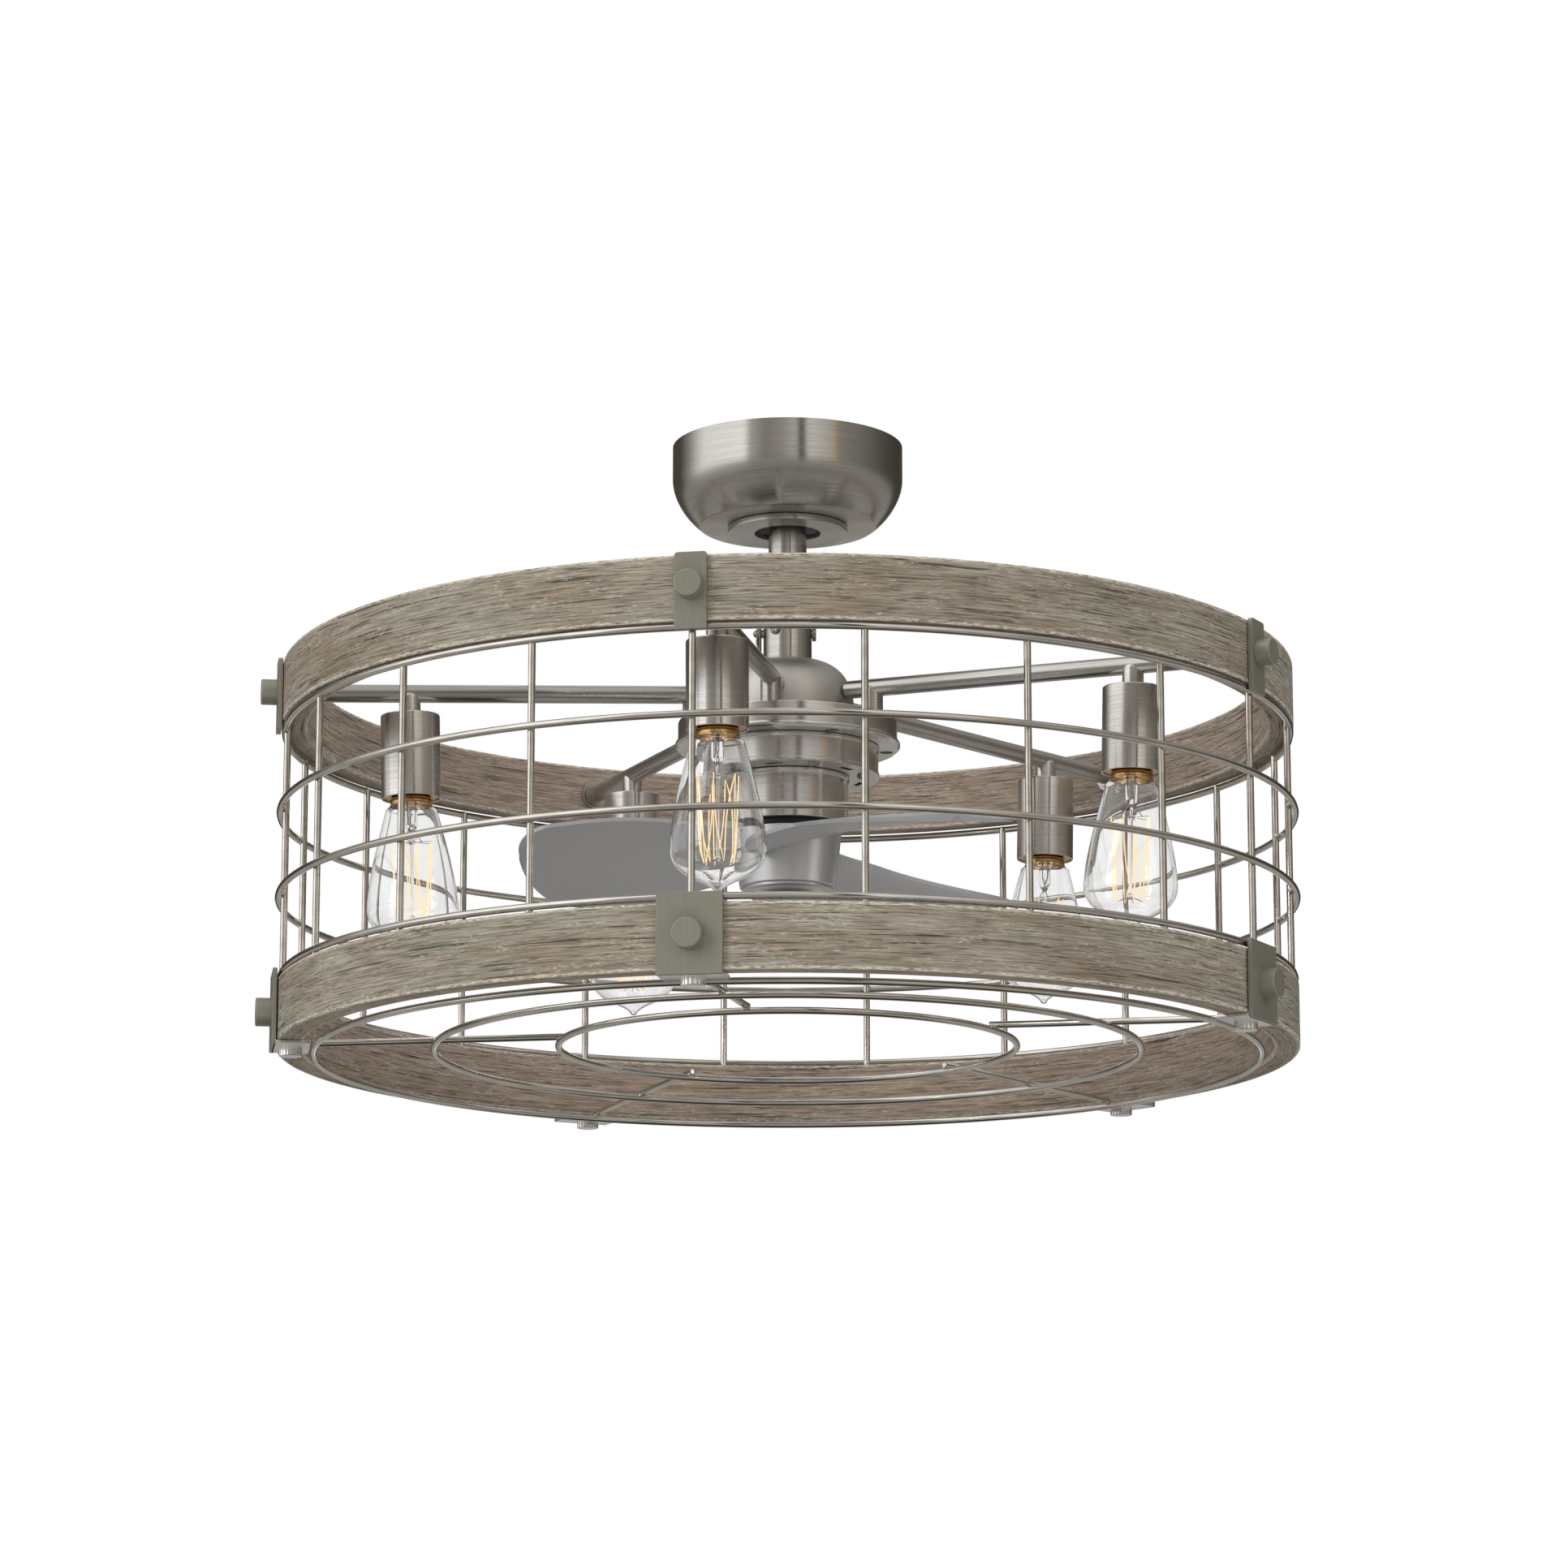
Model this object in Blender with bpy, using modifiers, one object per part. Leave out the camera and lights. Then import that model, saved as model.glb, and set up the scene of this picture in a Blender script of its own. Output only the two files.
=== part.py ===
"""Chandelier ceiling fan: a caged pendant with five lamps on arms and a small fan in the middle.

Every piece is its own object. Lengths are in metres, +Z is up, and the origin is the middle of the
ceiling bracket's top face, where the fan meets the ceiling. Heights below the ceiling are negative.
Pieces that repeat round the axis are modelled along +X and turned into place.
"""
import math

import bmesh
import bpy
from mathutils import Matrix, Vector

# Clearances
SEAT_GAP = 0.0003
BALL_GAP = 0.0006
OVERRUN = 0.004

# Overall ring and cage
RING_RADIUS = 0.3556
RING_THICKNESS = 0.018
RING_HEIGHT = 0.0435
RING_EDGE = 0.0015
TOP_RING_Z = -0.1682
BOTTOM_RING_Z = -0.3940
WIRE_RADIUS = 0.00245
ROD_RADIUS = 0.0024
CAGE_RING_INSET = 0.0026
ROD_INSET = 0.0015
HOOP_OUTSET = 0.0040
UPPER_HOOP_Z = -0.2726
LOWER_HOOP_Z = -0.3329
WIRE_TO_WOOD = 0.0012

# Ceiling bracket, canopy and hanger ball
CANOPY_RADIUS = 0.082
CANOPY_SIDE = 0.0265
CANOPY_DROP = 0.058
CANOPY_FLAT_RADIUS = 0.059
CANOPY_HOLE_RADIUS = 0.036
CANOPY_WALL = 0.0012
COVER_RADIUS = 0.0427
COVER_HOLE_RADIUS = 0.0235
COVER_THICKNESS = 0.0045
COVER_EDGE = 0.001
PLATE_WIDTH = 0.040
PLATE_THICKNESS = 0.0025
TAB_WIDTH = 0.012
TAB_THICKNESS = 0.0022
TAB_DROP = 0.015
TAB_GAP = 0.0011
BOX_SCREW_SPACING = 0.0889
BOX_SCREW_RADIUS = 0.0026
BOX_SCREW_SIDES = 24
LEAD_HOLE_RADIUS = 0.005
LEAD_HOLE_GAP = 0.01405
PLATE_SHOULDER = 0.0715
BALL_RADIUS = 0.026
BALL_CENTRE_Z = -0.034
BALL_TOP_RISE = 0.012
BALL_BOTTOM_DROP = 0.016
SWING_ANGLE = math.radians(10)
CRADLE_RADIUS = 0.0335
CRADLE_HEIGHT = 0.010
LEG_THICKNESS = 0.003
LEG_WIDTH = 0.030
CRADLE_SLOT_MARGIN = 0.001
CROSS_PIN_RADIUS = 0.003
CROSS_PIN_HALF = 0.0245
RECEIVER_LENGTH = 0.060
RECEIVER_WIDTH = 0.054
RECEIVER_HEIGHT = 0.0115
RECEIVER_EDGE = 0.002

# Downrod and coupling
ROD_TUBE_RADIUS = 0.0135
ROD_TUBE_WALL = 0.002
ROD_TUBE_TOP_Z = -0.018
COUPLING_RADIUS = 0.0171
COUPLING_TOP_Z = -0.1238
COUPLING_BOTTOM_Z = -0.1573
COUPLING_FLOOR = 0.007
COUPLING_EDGE = 0.0006
CLEVIS_PIN_RADIUS = 0.003
CLEVIS_PIN_Z = -0.1362
CLEVIS_HEAD_RADIUS = 0.0052
CLEVIS_HEAD_LENGTH = 0.0028
CLEVIS_TAIL = 0.0062
CLIP_WIRE_RADIUS = 0.0007
CLIP_LENGTH = 0.022
CLIP_BEND_RADIUS = 0.0026
COUPLING_SCREW_ANGLE = math.radians(-120)
COUPLING_SCREW_RADIUS = 0.002
COUPLING_SCREW_HEAD_RADIUS = 0.0037
COUPLING_SCREW_HEAD_LENGTH = 0.002

# Motor stack, from the dome down to the neck
SHAFT_RADIUS = 0.008
SHAFT_FLANGE_RADIUS = 0.020
SHAFT_FLANGE_THICKNESS = 0.0035
DOME_RADIUS = 0.048
DOME_BOTTOM_Z = -0.2010
DOME_SHOULDER_Z = -0.186
DOME_RISE = 0.0304
DOME_WALL = 0.0015
FLANGE_RADIUS = 0.0774
FLANGE_LIP_RADIUS = 0.0796
FLANGE_LIP_HEIGHT = 0.0045
FLANGE_HEIGHT = 0.0187
FLANGE_PLATE = 0.003
FLANGE_BORE_RADIUS = 0.040
FLANGE_HOLE_RADIUS = 0.0035
FLANGE_HOLE_CIRCLE = 0.0705
CASING_RADIUS = 0.064
CASING_LIP = 0.0008
CASING_LIP_HEIGHT = 0.002
CASING_HEIGHT = 0.0207
LOWER_CASING_RADIUS = 0.043
LOWER_CASING_BOTTOM_Z = -0.2757
CASING_PLATE = 0.002
NECK_INSET = 0.0015
NECK_HEIGHT = 0.0038

# Rotor
HUB_TOP_RADIUS = 0.038
HUB_TAPER = 0.0043
HUB_HEIGHT = 0.040
HUB_WALL = 0.0017
HUB_PLATE = 0.0031
HUB_WEB = 0.0074
BEARING_RADIUS = 0.0140
UPPER_BEARING_HEIGHT = 0.008
LOWER_BEARING_HEIGHT = 0.005
BEARING_WALL = 0.0032
BEARING_LIP = 0.002
STATOR_GAP = 0.0005
MAGNET_THICKNESS = 0.0034
MAGNET_HEIGHT = 0.018
STATOR_TOP_DROP = 0.0144
STATOR_SLOTS = 9
STATOR_SLOT_WIDTH = 0.004
STATOR_SLOT_DEPTH = 0.011
CAP_FLANGE_INSET = 0.0010
CAP_DROP = 0.0105
CAP_WALL = 0.002
SHAFT_END_DROP = 0.0012

# Blades
BLADE_COUNT = 3
FIRST_BLADE_ANGLE = math.radians(-60)
BLADE_ROOT_INSET = 0.002
BLADE_INSET = 0.1680
BLADE_HIGH_SIDE = 0.064
BLADE_LOW_SIDE = 0.112
BLADE_THICKNESS = 0.0024
BLADE_ROOT_Z = -0.2882
BLADE_DROOP = 0.0126
BLADE_SWEEP = 0.0243
BLADE_ROOT_PITCH = math.radians(17.4)
BLADE_TIP_PITCH = math.radians(5.2)
BLADE_CAMBER = 0.004
BLADE_ROWS = 6
# How far from root to tip, then the high side's and the low side's width, as shares of the full ones
BLADE_OUTLINE_SHARES = (
    (-0.21, 0.34, 0.24),
    (-0.10, 0.40, 0.37),
    (0.00, 0.46, 0.46),
    (0.15, 0.57, 0.57),
    (0.30, 0.73, 0.73),
    (0.45, 0.88, 0.88),
    (0.60, 0.97, 0.97),
    (0.74, 1.00, 1.00),
    (0.86, 0.97, 0.97),
    (0.92, 0.86, 0.86),
    (0.96, 0.67, 0.67),
    (0.985, 0.44, 0.44),
    (1.00, 0.12, 0.12),
)

# Arms, lamps and brackets, five of each
LAMP_COUNT = 5
FIRST_ARM_ANGLE = math.radians(-100)
ARM_RADIUS = 0.00635
ARM_INNER_Z = -0.182
ARM_OUTER_Z = -0.190
ARM_DOME_GAP = 0.0007
POST_CIRCLE_RADIUS = 0.068
WASHER_RADIUS = 0.011
WASHER_THICKNESS = 0.0023
WASHER_CURVE_GAP = 0.0006
LAMP_INSET = 0.0886
STEM_RADIUS = 0.0073
STEM_SADDLE_DROP = 0.003
CUP_RADIUS = 0.0207
CUP_TOP_Z = -0.204
CUP_HEIGHT = 0.0595
CUP_WALL = 0.0012
CUP_ROOF = 0.003
HOLDER_RADIUS = 0.0168
HOLDER_BORE_RADIUS = 0.0134
HOLDER_ROOF = 0.010
HOLDER_RECESS = 0.0012
BULB_CAP_RADIUS = 0.0130
BULB_CAP_HEIGHT = 0.026
BULB_RADIUS = 0.032
BULB_BELOW_CUP = 0.1080
# Height below the cup's rim and radius, as shares of BULB_BELOW_CUP and BULB_RADIUS
BULB_OUTLINE_SHARES = (
    (0.000, 0.50),
    (0.080, 0.56),
    (0.210, 0.70),
    (0.440, 0.85),
    (0.740, 1.00),
    (0.850, 0.90),
    (0.940, 0.55),
    (1.000, 0.00),
)
TOP_PLATE_WIDTH = 0.0212
TOP_PLATE_THICKNESS = 0.0035
TOP_PLATE_RISE = 0.001
TOP_PLATE_CORNER = 0.003
TOP_KNOB_RADIUS = 0.0092
TOP_KNOB_LENGTH = 0.011
KNOB_EDGE = 0.0006
STUD_RADIUS = 0.003
STUD_REACH_IN_ARM = 0.012
BOTTOM_PLATE_WIDTH = 0.043
BOTTOM_PLATE_THICKNESS = 0.0032
BOTTOM_PLATE_TOP_Z = -0.3880
FOOT_THICKNESS = 0.003
BOTTOM_KNOB_RADIUS = 0.0099
BOTTOM_STUD_REACH = 0.013
NUT_RADIUS = 0.008
NUT_HEIGHT = 0.0055
NUT_INSET = 0.0106
NUT_FLUTES = 8
NUT_FLUTE_DEPTH = 0.0008

# Bottom grille
GRILLE_INSET = 0.0260
GRILLE_DROP = 0.0033
GRILLE_MID_INSET = 0.0834
GRILLE_MID_RISE = 0.0048
GRILLE_INNER_INSET = 0.0866
GRILLE_INNER_RISE = 0.0085
SPOKE_LIFT = 0.0038

# Facets
WOOD_SEGMENTS = 60
HOOP_SEGMENTS = 40
WIRE_SIDES = 5
WIRE_ROD_SIDES = 6
ROUND_SEGMENTS = 24
SMALL_SEGMENTS = 12
LAMP_SEGMENTS = 12
FASTENER_SEGMENTS = 8
ARC_STEPS = 4
BALL_STEPS = 7
HUB_SEGMENTS = 28
SHAFT_SEGMENTS = 14
MERGE_DISTANCE = 0.00001
SMOOTH_ANGLE = math.radians(32)
CAGE_ROD_COUNT = 20

# Sizes that follow from the ones above
PLATE_END = CANOPY_RADIUS - CANOPY_WALL - TAB_GAP
ROD_TUBE_BOTTOM_Z = COUPLING_BOTTOM_Z + COUPLING_FLOOR + SEAT_GAP
SHAFT_TOP_Z = COUPLING_BOTTOM_Z + COUPLING_FLOOR - SEAT_GAP
FLANGE_TOP_Z = DOME_BOTTOM_Z - SEAT_GAP
FLANGE_BOTTOM_Z = FLANGE_TOP_Z - FLANGE_HEIGHT
CASING_TOP_Z = FLANGE_BOTTOM_Z - SEAT_GAP
CASING_BOTTOM_Z = CASING_TOP_Z - CASING_HEIGHT
LOWER_CASING_TOP_Z = CASING_BOTTOM_Z - SEAT_GAP
SHAFT_FLANGE_TOP_Z = LOWER_CASING_BOTTOM_Z - SEAT_GAP
NECK_TOP_Z = LOWER_CASING_BOTTOM_Z - SEAT_GAP
NECK_BOTTOM_Z = NECK_TOP_Z - NECK_HEIGHT
NECK_RADIUS = HUB_TOP_RADIUS - NECK_INSET
HUB_TOP_Z = NECK_BOTTOM_Z - SEAT_GAP
HUB_BOTTOM_Z = HUB_TOP_Z - HUB_HEIGHT
HUB_BOTTOM_RADIUS = HUB_TOP_RADIUS - HUB_TAPER
HUB_INNER_RADIUS = HUB_BOTTOM_RADIUS - HUB_WALL
CAP_FLANGE_RADIUS = HUB_BOTTOM_RADIUS - CAP_FLANGE_INSET
BLADE_ROOT_RADIUS = HUB_TOP_RADIUS - BLADE_ROOT_INSET
UPPER_BEARING_TOP_Z = HUB_TOP_Z - HUB_PLATE - SEAT_GAP
STATOR_TOP_Z = HUB_TOP_Z - STATOR_TOP_DROP
STATOR_RADIUS = HUB_INNER_RADIUS - SEAT_GAP - MAGNET_THICKNESS - STATOR_GAP
CAP_SEAT_Z = STATOR_TOP_Z - MAGNET_HEIGHT - OVERRUN / 2
CAP_BOTTOM_Z = HUB_BOTTOM_Z - SEAT_GAP - CAP_DROP
SHAFT_BOTTOM_Z = HUB_BOTTOM_Z - SHAFT_END_DROP
CUP_BOTTOM_Z = CUP_TOP_Z - CUP_HEIGHT
LEAD_HOLE_OFFSET = BOX_SCREW_SPACING / 2 + LEAD_HOLE_GAP
ARM_INNER_RADIUS = DOME_RADIUS + ARM_DOME_GAP
RING_INNER_RADIUS = RING_RADIUS - RING_THICKNESS
BLADE_RADIUS = RING_RADIUS - BLADE_INSET
CAGE_RING_RADIUS = RING_RADIUS - CAGE_RING_INSET
ROD_CIRCLE_RADIUS = CAGE_RING_RADIUS - ROD_INSET
HOOP_RADIUS = ROD_CIRCLE_RADIUS + HOOP_OUTSET
LAMP_CIRCLE_RADIUS = RING_RADIUS - LAMP_INSET
NUT_CIRCLE_RADIUS = RING_RADIUS - NUT_INSET
GRILLE_RADIUS = RING_RADIUS - GRILLE_INSET
GRILLE_Z = BOTTOM_RING_Z - RING_HEIGHT - GRILLE_DROP
GRILLE_MID_RADIUS = GRILLE_RADIUS - GRILLE_MID_INSET
GRILLE_INNER_RADIUS = GRILLE_MID_RADIUS - GRILLE_INNER_INSET
ARM_OUTER_RADIUS = RING_INNER_RADIUS - SEAT_GAP - WASHER_CURVE_GAP - WASHER_THICKNESS
BRACKET_RADIUS = RING_RADIUS + SEAT_GAP
FOOT_INNER_RADIUS = GRILLE_RADIUS + WIRE_RADIUS * math.cos(math.pi / WIRE_SIDES) + SEAT_GAP
FOOT_TOP_Z = BOTTOM_RING_Z - RING_HEIGHT - SEAT_GAP
FOOT_BOTTOM_Z = FOOT_TOP_Z - FOOT_THICKNESS
TOP_WIRE_Z = TOP_RING_Z - RING_HEIGHT - WIRE_TO_WOOD - WIRE_RADIUS
BOTTOM_WIRE_Z = BOTTOM_RING_Z + WIRE_TO_WOOD + WIRE_RADIUS
TOP_KNOB_Z = ARM_OUTER_Z
BOTTOM_KNOB_Z = BOTTOM_RING_Z - RING_HEIGHT / 2


def clear_scene():
    """Empty the scene, so the model starts from nothing."""
    for old in list(bpy.data.objects):
        bpy.data.objects.remove(old, do_unlink=True)


def make_collection(name):
    collection = bpy.data.collections.new(name)
    bpy.context.scene.collection.children.link(collection)
    return collection


def make_material(name, colour, metallic, roughness):
    material = bpy.data.materials.new(name)
    material.use_nodes = True
    shader = material.node_tree.nodes["Principled BSDF"]
    shader.inputs["Base Color"].default_value = (*colour, 1)
    shader.inputs["Metallic"].default_value = metallic
    shader.inputs["Roughness"].default_value = roughness
    return material


def make_materials():
    return {
        "nickel": make_material("brushed nickel", (0.42, 0.41, 0.39), 1.0, 0.32),
        "wire": make_material("nickel wire", (0.46, 0.45, 0.42), 1.0, 0.28),
        "bracket": make_material("satin bracket", (0.23, 0.22, 0.19), 0.9, 0.45),
        "wood": make_material("weathered wood", (0.22, 0.19, 0.15), 0.0, 0.75),
        "blade": make_material("silver blade", (0.33, 0.33, 0.34), 0.3, 0.40),
        "glass": make_material("clear glass", (0.9, 0.9, 0.9), 0.0, 0.05),
        "black": make_material("black plastic", (0.01, 0.01, 0.01), 0.0, 0.50),
        "steel": make_material("zinc steel", (0.50, 0.50, 0.50), 1.0, 0.35),
        "core": make_material("lamination steel", (0.16, 0.15, 0.14), 0.8, 0.50),
    }


def add_mesh(name, fill):
    """Make a mesh object whose geometry is made by fill, a function of a bmesh."""
    mesh = bpy.data.meshes.new(name)
    bm = bmesh.new()
    fill(bm)
    bm.to_mesh(mesh)
    bm.free()
    made = bpy.data.objects.new(name, mesh)
    PARTS.objects.link(made)
    return made


def bake(item):
    """Turn an object with its modifiers, or a curve, into a plain closed mesh object."""
    depsgraph = bpy.context.evaluated_depsgraph_get()
    mesh = bpy.data.meshes.new_from_object(item.evaluated_get(depsgraph))
    bm = bmesh.new()
    bm.from_mesh(mesh)
    bmesh.ops.remove_doubles(bm, verts=bm.verts, dist=MERGE_DISTANCE)
    bmesh.ops.recalc_face_normals(bm, faces=bm.faces)
    bm.to_mesh(mesh)
    bm.free()
    plain = bpy.data.objects.new(item.name, mesh)
    plain.matrix_world = item.matrix_world.copy()
    name = item.name
    bpy.data.objects.remove(item, do_unlink=True)
    plain.name = name
    PARTS.objects.link(plain)
    return plain


def lathe(name, profile, segments, closed):
    """Turn a profile of (radius, height) points round Z. A closed profile makes a ring or a shell."""
    def fill(bm):
        points = [bm.verts.new((radius, 0, height)) for radius, height in profile]
        for first, second in zip(points, points[1:]):
            bm.edges.new((first, second))
        if closed:
            bm.edges.new((points[-1], points[0]))
    turned = add_mesh(name, fill)
    screw = turned.modifiers.new("turn", "SCREW")
    screw.steps = segments
    screw.render_steps = segments
    screw.use_merge_vertices = True
    screw.merge_threshold = MERGE_DISTANCE
    return bake(turned)


def cylinder(name, radius, low, high, segments, centre=(0, 0)):
    """An upright cylinder between two heights."""
    def fill(bm):
        bmesh.ops.create_cone(bm, cap_ends=True, segments=segments, radius1=radius, radius2=radius,
                              depth=high - low)
        bmesh.ops.translate(bm, verts=bm.verts, vec=(centre[0], centre[1], (low + high) / 2))
    return add_mesh(name, fill)


def radial_cylinder(name, radius, inner, outer, height, segments):
    """A cylinder that lies along +X at a height, from an inner to an outer distance."""
    def fill(bm):
        bmesh.ops.create_cone(bm, cap_ends=True, segments=segments, radius1=radius, radius2=radius,
                              depth=outer - inner)
        bmesh.ops.rotate(bm, verts=bm.verts, matrix=Matrix.Rotation(math.pi / 2, 3, "Y"))
        bmesh.ops.translate(bm, verts=bm.verts, vec=((inner + outer) / 2, 0, height))
    return add_mesh(name, fill)


def slanted_cylinder(name, radius, start, end, segments):
    """A cylinder between two points."""
    start = Vector(start)
    end = Vector(end)
    turn = (end - start).to_track_quat("Z", "Y").to_matrix()

    def fill(bm):
        bmesh.ops.create_cone(bm, cap_ends=True, segments=segments, radius1=radius, radius2=radius,
                              depth=(end - start).length)
        bmesh.ops.rotate(bm, verts=bm.verts, matrix=turn)
        bmesh.ops.translate(bm, verts=bm.verts, vec=(start + end) / 2)
    return add_mesh(name, fill)


def block(name, low, high):
    """A box between two corners."""
    low = Vector(low)
    high = Vector(high)

    def fill(bm):
        bmesh.ops.create_cube(bm, size=1)
        bmesh.ops.scale(bm, verts=bm.verts, vec=high - low)
        bmesh.ops.translate(bm, verts=bm.verts, vec=(low + high) / 2)
    return add_mesh(name, fill)


def bevel_edges(item, width, keep):
    """Chamfer the edges of an object for which keep, a function of an edge, is true."""
    bm = bmesh.new()
    bm.from_mesh(item.data)
    edges = [edge for edge in bm.edges if keep(edge)]
    bmesh.ops.bevel(bm, geom=edges, offset=width, segments=1, profile=0.5, affect="EDGES", material=-1)
    bm.to_mesh(item.data)
    bm.free()
    return item


def combine(target, other, operation):
    """Apply one Boolean between two objects and remove the second."""
    modifier = target.modifiers.new(operation.lower(), "BOOLEAN")
    modifier.operation = operation
    modifier.object = other
    result = bake(target)
    bpy.data.objects.remove(other, do_unlink=True)
    return result


def union(target, *others):
    for other in others:
        target = combine(target, other, "UNION")
    return target


def cut(target, *others):
    for other in others:
        target = combine(target, other, "DIFFERENCE")
    return target


def gather(name, items):
    """Put several loose shapes in one mesh, for a single Boolean."""
    def fill(bm):
        for item in items:
            copy = item.data.copy()
            copy.transform(item.matrix_world)
            bm.from_mesh(copy)
            bpy.data.meshes.remove(copy)
    gathered = add_mesh(name, fill)
    for item in items:
        bpy.data.objects.remove(item, do_unlink=True)
    return gathered


def finish(item, material, parent):
    """Give a piece its material, its smooth shading and the frame that carries it."""
    item.data.materials.clear()
    item.data.materials.append(material)
    item.data.shade_smooth()
    item.data.set_sharp_from_angle(angle=SMOOTH_ANGLE)
    item.parent = parent
    item.matrix_parent_inverse = parent.matrix_world.inverted()
    return item


def finish_ring(item, material, parent, count, first_angle, first_number=1):
    """Copy a piece that lies along +X round the axis. The copies share one mesh."""
    base_name = item.name
    item.name = base_name + "_source"
    for index in range(count):
        copy = bpy.data.objects.new(f"{base_name}_{index + first_number}", item.data)
        PARTS.objects.link(copy)
        copy.rotation_euler = (0, 0, first_angle + index * math.tau / count)
        finish(copy, material, parent)
    bpy.data.objects.remove(item, do_unlink=True)


def make_frame(name, height, parent=None):
    """An empty on a joint's axis, which carries the pieces that move together."""
    frame = bpy.data.objects.new(name, None)
    PARTS.objects.link(frame)
    frame.location = (0, 0, height)
    bpy.context.view_layer.update()
    if parent is not None:
        frame.parent = parent
        frame.matrix_parent_inverse = parent.matrix_world.inverted()
    bpy.context.view_layer.update()
    return frame


def arc(centre, radii, start, end, steps):
    """Points (radius, height) along a quarter or so of an ellipse, with both ends."""
    points = []
    for index in range(steps + 1):
        angle = start + (end - start) * index / steps
        points.append((centre[0] + radii[0] * math.cos(angle), centre[1] + radii[1] * math.sin(angle)))
    return points


def canopy(looks, frame):
    bowl = (CANOPY_RADIUS - CANOPY_FLAT_RADIUS, CANOPY_DROP - CANOPY_SIDE)
    inner_bowl = (bowl[0] - CANOPY_WALL / 2, bowl[1] - CANOPY_WALL)
    outer = arc((CANOPY_FLAT_RADIUS, -CANOPY_SIDE), bowl, 0, -math.pi / 2, ARC_STEPS)
    inner = arc((CANOPY_FLAT_RADIUS - CANOPY_WALL / 2, -CANOPY_SIDE), inner_bowl, -math.pi / 2, 0,
                ARC_STEPS - 1)
    profile = [(CANOPY_RADIUS, 0)] + outer + [(CANOPY_HOLE_RADIUS, -CANOPY_DROP)]
    profile += [(CANOPY_HOLE_RADIUS, CANOPY_WALL - CANOPY_DROP)] + inner + [(CANOPY_RADIUS - CANOPY_WALL, 0)]
    shell = lathe("canopy", profile, ROUND_SEGMENTS, True)
    finish(shell, looks["nickel"], frame)


def canopy_cover(looks, frame):
    top = -CANOPY_DROP - SEAT_GAP
    bottom = top - COVER_THICKNESS
    profile = [
        (COVER_HOLE_RADIUS, top),
        (COVER_RADIUS, top),
        (COVER_RADIUS, bottom + COVER_EDGE),
        (COVER_RADIUS - COVER_EDGE, bottom),
        (COVER_HOLE_RADIUS, bottom),
    ]
    finish(lathe("canopy_cover", profile, ROUND_SEGMENTS, True), looks["nickel"], frame)


def ceiling_bracket(looks, frame):
    """A plate for the ceiling box, two legs and a cradle that the hanger ball sits in."""
    cradle_top = BALL_CENTRE_Z - BALL_BOTTOM_DROP + CRADLE_HEIGHT
    cradle_bottom = cradle_top - CRADLE_HEIGHT
    plate = block("ceiling_bracket", (-PLATE_END, -PLATE_WIDTH / 2, -PLATE_THICKNESS),
                  (PLATE_END, PLATE_WIDTH / 2, 0))
    corner = block("plate_corners", (-PLATE_END - OVERRUN, TAB_WIDTH / 2, -OVERRUN - PLATE_THICKNESS),
                   (PLATE_END + OVERRUN, PLATE_WIDTH, OVERRUN))
    middle = block("plate_middle", (-PLATE_SHOULDER, -PLATE_WIDTH, -PLATE_THICKNESS - 2 * OVERRUN),
                   (PLATE_SHOULDER, 2 * PLATE_WIDTH, 2 * OVERRUN))
    corner = cut(corner, middle)
    mirrored = block("plate_corners_back", (-PLATE_END - OVERRUN, -PLATE_WIDTH, -OVERRUN - PLATE_THICKNESS),
                     (PLATE_END + OVERRUN, -TAB_WIDTH / 2, OVERRUN))
    middle = block("plate_middle", (-PLATE_SHOULDER, -2 * PLATE_WIDTH, -PLATE_THICKNESS - 2 * OVERRUN),
                   (PLATE_SHOULDER, PLATE_WIDTH, 2 * OVERRUN))
    mirrored = cut(mirrored, middle)
    plate = cut(plate, corner, mirrored)
    tabs = []
    legs = []
    for side in (-1, 1):
        tab_outer = side * PLATE_END
        tab_inner = side * (PLATE_END - TAB_THICKNESS)
        tabs.append(block("tab", (min(tab_outer, tab_inner), -TAB_WIDTH / 2, -TAB_DROP),
                          (max(tab_outer, tab_inner), TAB_WIDTH / 2, -PLATE_THICKNESS / 2)))
        leg_outer = side * CRADLE_RADIUS
        leg_inner = side * (CRADLE_RADIUS - LEG_THICKNESS)
        legs.append(block("leg", (min(leg_outer, leg_inner), -LEG_WIDTH / 2, cradle_bottom),
                          (max(leg_outer, leg_inner), LEG_WIDTH / 2, -PLATE_THICKNESS / 2)))
    cradle = cylinder("cradle", CRADLE_RADIUS, cradle_bottom, cradle_top, ROUND_SEGMENTS)
    bracket = union(plate, gather("legs", legs), gather("tabs", tabs), cradle)
    half_slot = ROD_TUBE_RADIUS + CRADLE_SLOT_MARGIN
    slot = block("slot", (-half_slot, 0, cradle_bottom - OVERRUN),
                 (half_slot, CRADLE_RADIUS + OVERRUN, cradle_top + OVERRUN))
    bracket = cut(bracket, ball_space(), slot)
    holes = [cylinder("screw_hole", BOX_SCREW_RADIUS, -PLATE_THICKNESS - OVERRUN, OVERRUN, BOX_SCREW_SIDES,
                      (side * BOX_SCREW_SPACING / 2, 0)) for side in (-1, 1)]
    holes.append(cylinder("lead_hole", LEAD_HOLE_RADIUS, -PLATE_THICKNESS - OVERRUN, OVERRUN,
                          SMALL_SEGMENTS, (-LEAD_HOLE_OFFSET, 0)))
    bracket = cut(bracket, gather("holes", holes))
    finish(bracket, looks["steel"], frame)


def ball_side(radius):
    """The hanger ball's side at a radius, between its two flats."""
    start = math.asin(BALL_TOP_RISE / BALL_RADIUS)
    end = -math.asin(BALL_BOTTOM_DROP / BALL_RADIUS)
    return arc((0, BALL_CENTRE_Z), (radius, radius), start, end, BALL_STEPS)


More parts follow.
